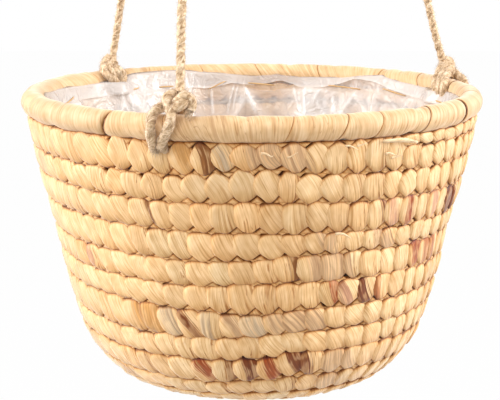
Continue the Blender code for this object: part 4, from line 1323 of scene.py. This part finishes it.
# Strands of each hitch in millimetres from the roll's middle: along the rim, outwards, up
HITCH_STRANDS = {
    "front": {
        "left_turn": ((-7.2, -4.0, 12.2), (-9.8, 0.5, 11.6), (-12.1, 4.8, 10.4), (-13.2, 9.2, 7.2),
                      (-13.3, 11.6, 3.0), (-13.3, 12.0, -1.4), (-13.2, 10.6, -6.2),
                      (-12.8, 7.0, -10.7), (-13.0, 0.0, -12.0), (-10.0, -8.5, -8.6),
                      (-7.0, -11.4, -1.0), (-5.0, -9.5, 7.0), (-4.0, -4.0, 12.0)),
        "right_turn": ((-2.0, -3.0, 18.6), (-4.6, 0.5, 19.2), (-5.9, 4.2, 17.3),
                       (-3.9, 8.0, 13.9), (-1.2, 11.0, 9.9), (-1.1, 12.3, 5.6),
                       (-2.9, 12.3, 0.8), (-5.8, 10.9, -4.4), (-9.0, 8.2, -9.2),
                       (-8.5, 2.0, -11.8), (-6.0, -6.5, -10.0), (-3.0, -11.4, -3.0),
                       (-1.0, -10.4, 5.0), (0.5, -5.0, 12.0)),
        "hitch": ((-1.3, 7.5, 11.7), (2.5, 9.8, 13.6), (5.5, 8.0, 16.0), (4.9, 3.0, 18.1),
                  (0.3, -2.5, 19.3), (-4.3, -4.5, 18.7), (-5.5, -2.0, 16.0), (0.0, 6.0, 14.7),
                  (4.6, 7.2, 18.9), (7.7, 5.0, 17.9), (8.7, 4.6, 14.5), (8.0, 5.2, 11.2)),
    },
    "back_left": {
        "first_turn": ((1.5, 1.5, 17.0), (3.3, 2.0, 15.2), (7.1, 0.0, 11.6), (12.3, -5.0, 8.1),
                       (13.6, -9.5, 5.0), (9.8, -11.0, 2.3), (5.7, -11.0, -0.6),
                       (3.0, -8.0, -7.0)),
        "second_turn": ((2.0, 2.0, 13.6), (6.3, -2.5, 10.7), (8.6, -8.0, 7.3), (6.4, -10.3, 4.1),
                        (2.4, -11.0, 1.3), (0.0, -9.6, -5.0)),
        "third_turn": ((3.8, 1.0, 13.1), (6.6, -4.5, 10.1), (6.2, -9.0, 7.2), (3.3, -10.5, 4.2),
                       (0.6, -10.8, 0.8), (-1.0, -9.6, -5.0)),
        "fourth_turn": ((0.2, 0.2, 17.5), (1.0, -0.6, 14.6), (2.6, -3.4, 11.0), (1.6, -8.0, 7.8),
                        (-0.5, -9.3, 6.0), (-0.8, -10.5, 2.8), (1.1, -10.5, -0.3),
                        (3.0, -8.0, -6.0)),
        "outer_turn": ((2.0, 2.0, 15.4), (3.4, 4.0, 13.6), (3.3, 6.0, 10.2), (1.9, 8.5, 6.6),
                       (0.5, 11.0, 1.7), (1.0, 9.6, -5.0), (3.0, 3.0, -10.6)),
        "hitch": ((2.1, -4.0, 11.5), (-0.7, 1.0, 13.5), (-0.4, 4.0, 15.1), (2.8, 4.0, 14.6),
                  (5.8, 2.0, 12.1), (7.9, -1.0, 9.6)),
    },
    "right": {
        "first_turn": ((0.3, 0.8, 20.5), (-0.9, 1.5, 16.9), (-4.0, -2.0, 13.9),
                       (-7.4, -6.0, 10.2), (-9.5, -9.0, 6.5), (-12.1, -11.0, 2.7),
                       (-13.1, -11.3, -0.6), (-9.4, -8.4, -6.6)),
        "second_turn": ((-5.0, 3.0, 17.9), (-6.9, 0.0, 14.4), (-10.7, -4.5, 10.8),
                        (-15.6, -9.2, 6.8), (-18.5, -11.4, 2.8), (-18.6, -11.2, -0.7),
                        (-14.7, -8.4, -6.6)),
        "third_turn": ((-7.8, 3.0, 16.1), (-10.4, 0.0, 12.3), (-16.1, -5.4, 9.3),
                       (-22.1, -9.9, 4.8), (-23.9, -11.3, 0.6), (-21.2, -9.6, -4.6)),
        "fourth_turn": ((-3.8, 5.0, 15.3), (-5.3, 5.0, 11.3), (-4.8, 7.0, 8.4), (-5.6, 9.0, 5.9),
                        (-8.4, 11.0, 2.7), (-9.0, 10.4, -4.0)),
        "outer_turn": ((-3.3, 4.0, 17.3), (-3.0, 5.5, 13.8), (-4.3, 8.0, 10.4), (-8.5, 10.0, 7.9),
                       (-12.1, 11.5, 4.4), (-14.5, 11.0, -0.1), (-13.0, 9.0, -7.0)),
        "hitch": ((-6.4, -4.0, 12.1), (-1.9, 0.0, 14.9), (-0.3, 3.0, 17.8), (-2.4, 4.5, 19.0),
                  (-3.6, 5.5, 17.3), (-3.0, 5.5, 14.1), (-3.7, 3.0, 12.2), (-5.8, -1.0, 10.5)),
    },
}
# Frayed ends: the hitch, and where the end lies
FRAYS = (("front", (8.2, 5.2, 12.0)), ("front", (-11.0, 8.6, -10.0)),
         ("back_left", (4.3, -12.4, 6.0)), ("right", (-14.0, 11.0, -6.0)))


FRAY_FIBRES = 60
FRAY_LENGTHS = (0.0020, 0.0048)
FRAY_RADII = (0.00015, 0.00028)
FRAY_SPREAD = 0.30
FRAY_FOOT, FRAY_CURL = 0.0011, 0.0014    # how far the fibres' feet and tips are scattered
FRAY_STEPS, FRAY_SIDES = 3, 3


def frayed_end(base, direction, seed):
    """A cut end of rope, opened into its fibres."""
    rng = random.Random(seed)

    def jitter(size):
        return Vector((rng.gauss(0, 1), rng.gauss(0, 1), rng.gauss(0, 1))) * size

    verts, faces = [], []
    for _ in range(FRAY_FIBRES):
        way = (direction + jitter(FRAY_SPREAD)).normalized()
        side = way.orthogonal().normalized()
        other = way.cross(side)
        foot, curl = base + jitter(FRAY_FOOT), jitter(FRAY_CURL)
        length = rng.uniform(*FRAY_LENGTHS)
        wide = rng.uniform(*FRAY_RADII)
        first = len(verts)
        for step in range(FRAY_STEPS + 1):
            spot = foot + way * length * step / FRAY_STEPS + curl * (step / FRAY_STEPS) ** 2
            for turn in range(FRAY_SIDES):
                swing = 2 * math.pi * turn / FRAY_SIDES
                verts.append(spot + (side * math.cos(swing) + other * math.sin(swing))
                             * wide * (1 - 0.2 * step))
        last = first + FRAY_STEPS * FRAY_SIDES
        faces += [*ring_faces(FRAY_STEPS + 1, FRAY_SIDES, first),
                  (first + 2, first + 1, first), (last, last + 1, last + 2)]
    data = bpy.data.meshes.new("fray")
    data.from_pydata([tuple(v) for v in verts], [], faces)
    shade = data.attributes.new("along", "FLOAT", "POINT")
    shade.data.foreach_set("value", [rng.random() for _ in verts])
    return bpy.data.objects.new("fray", data)


def joined(name, things):
    """One object from several, by adding their meshes together."""
    body = bmesh.new()
    for thing in things:
        body.from_mesh(thing.data)
    data = bpy.data.meshes.new(name)
    body.to_mesh(data)
    body.free()
    data.materials.append(jute)
    data.shade_smooth()
    for thing in things:
        bpy.data.objects.remove(thing)
    made = bpy.data.objects.new(name, data)
    bpy.context.collection.objects.link(made)
    return made


LEAST_HITCH_SHADE = 0.32          # painted shade all over the hitches, as the least of their groove shade


def rim_hitch(side, swell):
    """One rope's hitch on the rim, with its strands a little thicker than the rope."""
    angle = ROPE_ROUTES[side][0][0]
    turn = math.radians(angle)
    tangent = Vector((-math.sin(turn), math.cos(turn), 0.0))
    outwards = Vector((math.cos(turn), math.sin(turn), 0.0))
    centre = around(angle, RIM_RADIUS, RIM_CENTRE_Z)

    def local(t, r, z):
        return centre + (tangent * t + outwards * r) * 0.001 + Vector((0.0, 0.0, z * 0.001))

    parts = [rope_along(f"{side}_{part}", smooth_through([local(*p) for p in strand], 6),
                        ROPE_DIAMETER * swell, HITCH_HAIRS, HITCH_HAIR_LENGTH)
             for part, strand in HITCH_STRANDS[side].items()]
    # Painted shade over all the hitches: their groove shade is raised to at least this
    for part in parts:
        for point in part.data.attributes["groove"].data:
            point.value = max(point.value, LEAST_HITCH_SHADE)
    parts += [frayed_end(local(*place), outwards * 0.3 + Vector((0.0, 0.0, -1.0)), 77 + i)
              for i, (knot, place) in enumerate(FRAYS) if knot == side]
    knot = joined(f"rope_hitch_{side}", parts)
    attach(knot, "basket")
    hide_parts(f"rim_knot_{side}")


rim_hitch("front", swell=1.16)
rim_hitch("back_left", swell=1.12)
rim_hitch("right", swell=1.16)


# The top knot: the three ropes are laid together and knotted round themselves, and
# the same bundle goes on as the hanging loop.

# The turns round the bundle: angle, and height over the knot's middle in mm
TOP_KNOT_WRAP = ((0.0, 8.0), (60.0, 7.0), (120.0, 5.0), (180.0, 3.5), (240.0, 3.0), (300.0, 2.6),
                 (360.0, 1.8), (420.0, 0.5), (480.0, -1.0), (540.0, -2.0), (600.0, -2.6),
                 (660.0, -3.2), (720.0, -4.2), (780.0, -5.6), (840.0, -7.0), (900.0, -7.6))
WRAP_RADIUS = 0.0088
# Strands of the knot in mm from its middle
TOP_KNOT_OVER = ((-6.0, -4.0, 9.0), (-7.5, -7.5, 4.0), (-3.0, -10.6, -1.0), (3.5, -9.5, -6.0),
                 (6.0, -5.0, -9.0))
TOP_KNOT_CROWN = ((-8.5, 3.0, 2.5), (-4.6, 2.4, 8.2), (1.0, 0.5, 10.0), (6.0, -2.4, 7.6),
                  (8.8, -3.6, 1.5))
TOP_KNOT_HEART = ((0.0, 0.0, -7.5), (1.0, 0.5, -3.0), (-1.0, 0.0, 2.0), (0.0, 0.0, 7.0))
KNOTTED_DIAMETER, HEART_DIAMETER = ROPE_DIAMETER * 0.95, 0.012


def top_knot_piece():
    """The knot: turns round the bundle, a strand over each side, one on top, and a core."""
    wrap = [around(angle, WRAP_RADIUS * math.cos(math.radians(z * 6.0)), KNOT_Z + z * 0.001)
            for angle, z in TOP_KNOT_WRAP]
    over, crown, heart = ([knot_centre + Vector(p) * 0.001 for p in strand]
                          for strand in (TOP_KNOT_OVER, TOP_KNOT_CROWN, TOP_KNOT_HEART))
    under = [Vector((-p.x, -p.y, 2.0 * KNOT_Z - p.z)) for p in over]
    knot = joined("rope_knot_top", [
        rope_along("knot_wrap", smooth_through(wrap, 4), KNOTTED_DIAMETER),
        *(rope_along("knot_over", smooth_through(strand, 6), KNOTTED_DIAMETER)
          for strand in (over, under, crown)),
        rope_along("knot_heart", smooth_through(heart, 6), HEART_DIAMETER, 0.0)])
    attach(knot, "knot")
    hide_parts("top_knot")


top_knot_piece()

LOOP_WIDTH = 0.050
LOOP_SINK = 0.0045           # of the loop's two feet in the knot
LOOP_RUN = 0.0105            # that each leg goes straight on from its foot
LOOP_LEAN = math.radians(28)
LOOP_SHOULDER = math.radians(50)


def loop_piece():
    """The loop: up from the knot, out to its widest place, and round over the hook's seat."""
    half_rope = ROPE_DIAMETER / 2
    foot = TOP_KNOT_RADIUS - LOOP_SINK
    lean, shoulder = LOOP_LEAN, LOOP_SHOULDER
    bottom = Vector((foot * math.sin(lean), 0.0, KNOT_Z + foot * math.cos(lean)))
    half_width = LOOP_WIDTH / 2 - half_rope
    wide_z = -half_width
    out = (bottom - knot_centre).normalized()
    right = [bottom, bottom + out * LOOP_RUN, Vector((half_width, 0.0, wide_z)),
             Vector((half_width * math.sin(shoulder), 0.0,
                     wide_z + (half_rope - wide_z) * math.cos(shoulder)))]
    left = [Vector((-p.x, 0.0, p.z)) for p in reversed(right)]
    points = smooth_through(right + [Vector((0.0, 0.0, half_rope))] + left, 8)
    loop = rope_along("rope_loop", points)
    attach(loop, "loop")
    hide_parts("hanging_loop")


loop_piece()


# A plain pale floor well under the basket, soft daylight from both sides, and the
# camera at the height and distance that the picture was taken from.

FLOOR_Z = -0.95
FLOOR_HALF = 6.0
WHITENESS = 0.985            # of the floor, as the camera sees it
ROOM_LIGHT = 0.52
CAMERA_ASIDE, CAMERA_BACK, CAMERA_RISE = -0.0014, -0.95, 0.1133
CAMERA_TILT = 11.31
CAMERA_LENS = 104.76


def seen_white(name, colour):
    """A pale surface that the camera sees as white, with a trace of the object's shadow."""
    made, tree, shader = new_finish(name, Base_Color=(*colour, 1.0), Roughness=0.9)
    seen = node_in(tree, "ShaderNodeLightPath").outputs["Is Camera Ray"]
    mix = node_in(tree, "ShaderNodeMixShader", {"Fac": calc(tree, "MULTIPLY", seen, WHITENESS)})
    tree.links.new(shader.outputs["BSDF"], mix.inputs[1])
    tree.links.new(tree.nodes.new("ShaderNodeEmission").outputs["Emission"], mix.inputs[2])
    tree.links.new(mix.outputs["Shader"], tree.nodes["Material Output"].inputs["Surface"])
    return made


floor_data = bpy.data.meshes.new("floor")
floor_data.from_pydata([(x * FLOOR_HALF, y * FLOOR_HALF, FLOOR_Z)
                        for x, y in ((-1, -1), (1, -1), (1, 1), (-1, 1))], [], [(0, 1, 2, 3)])
floor = bpy.data.objects.new("floor", floor_data)
bpy.context.collection.objects.link(floor)
floor_data.materials.append(seen_white("pale_floor", (0.55, 0.53, 0.50)))

world = bpy.data.worlds.new("soft_studio")
bpy.context.scene.world = world
world.use_nodes = True
sky = world.node_tree
paths = sky.nodes.new("ShaderNodeLightPath").outputs
seen = calc(sky, "MAXIMUM", paths["Is Camera Ray"], paths["Is Transmission Ray"])
strength = node_in(sky, "ShaderNodeMix", {"Factor": seen, "A": ROOM_LIGHT, "B": 1.0})
sky.links.new(strength.outputs["Result"], sky.nodes["Background"].inputs["Strength"])
sky.nodes["Background"].inputs["Color"].default_value = (1.0, 1.0, 1.0, 1.0)


def softbox(name, place, aim, size, power):
    """A broad lamp that shines from one place towards another."""
    data = bpy.data.lights.new(name, "AREA")
    data.shape = "RECTANGLE"
    data.size, data.size_y = size
    data.energy = power
    lamp = bpy.data.objects.new(name, data)
    lamp.location = place
    lamp.rotation_euler = (Vector(aim) - Vector(place)).to_track_quat("-Z", "Y").to_euler()
    bpy.context.collection.objects.link(lamp)


softbox("left_window", place=(-1.25, -0.05, 0.05), aim=(0, 0, -0.5), size=(0.8, 1.0), power=22.0)
softbox("right_window", place=(1.25, -0.05, 0.05), aim=(0, 0, -0.5), size=(0.8, 1.0), power=25.0)
softbox("top_fill", place=(-0.1, -0.75, 0.9), aim=(0, 0, -0.45), size=(1.0, 0.7), power=9.0)
softbox("front_fill", place=(-0.50, -1.15, 0.05), aim=(0, 0, -0.5), size=(0.5, 0.5), power=4.6)

camera_data = bpy.data.cameras.new("camera")
camera_data.sensor_width = 36.0
camera_data.lens = CAMERA_LENS
camera = bpy.data.objects.new("camera", camera_data)
camera.location = (CAMERA_ASIDE, CAMERA_BACK, RIM_TOP_Z + CAMERA_RISE)
camera.rotation_euler = (math.radians(90.0 - CAMERA_TILT), 0.0, 0.0)
bpy.context.collection.objects.link(camera)
bpy.context.scene.camera = camera
bpy.context.scene.view_settings.view_transform = "Standard"
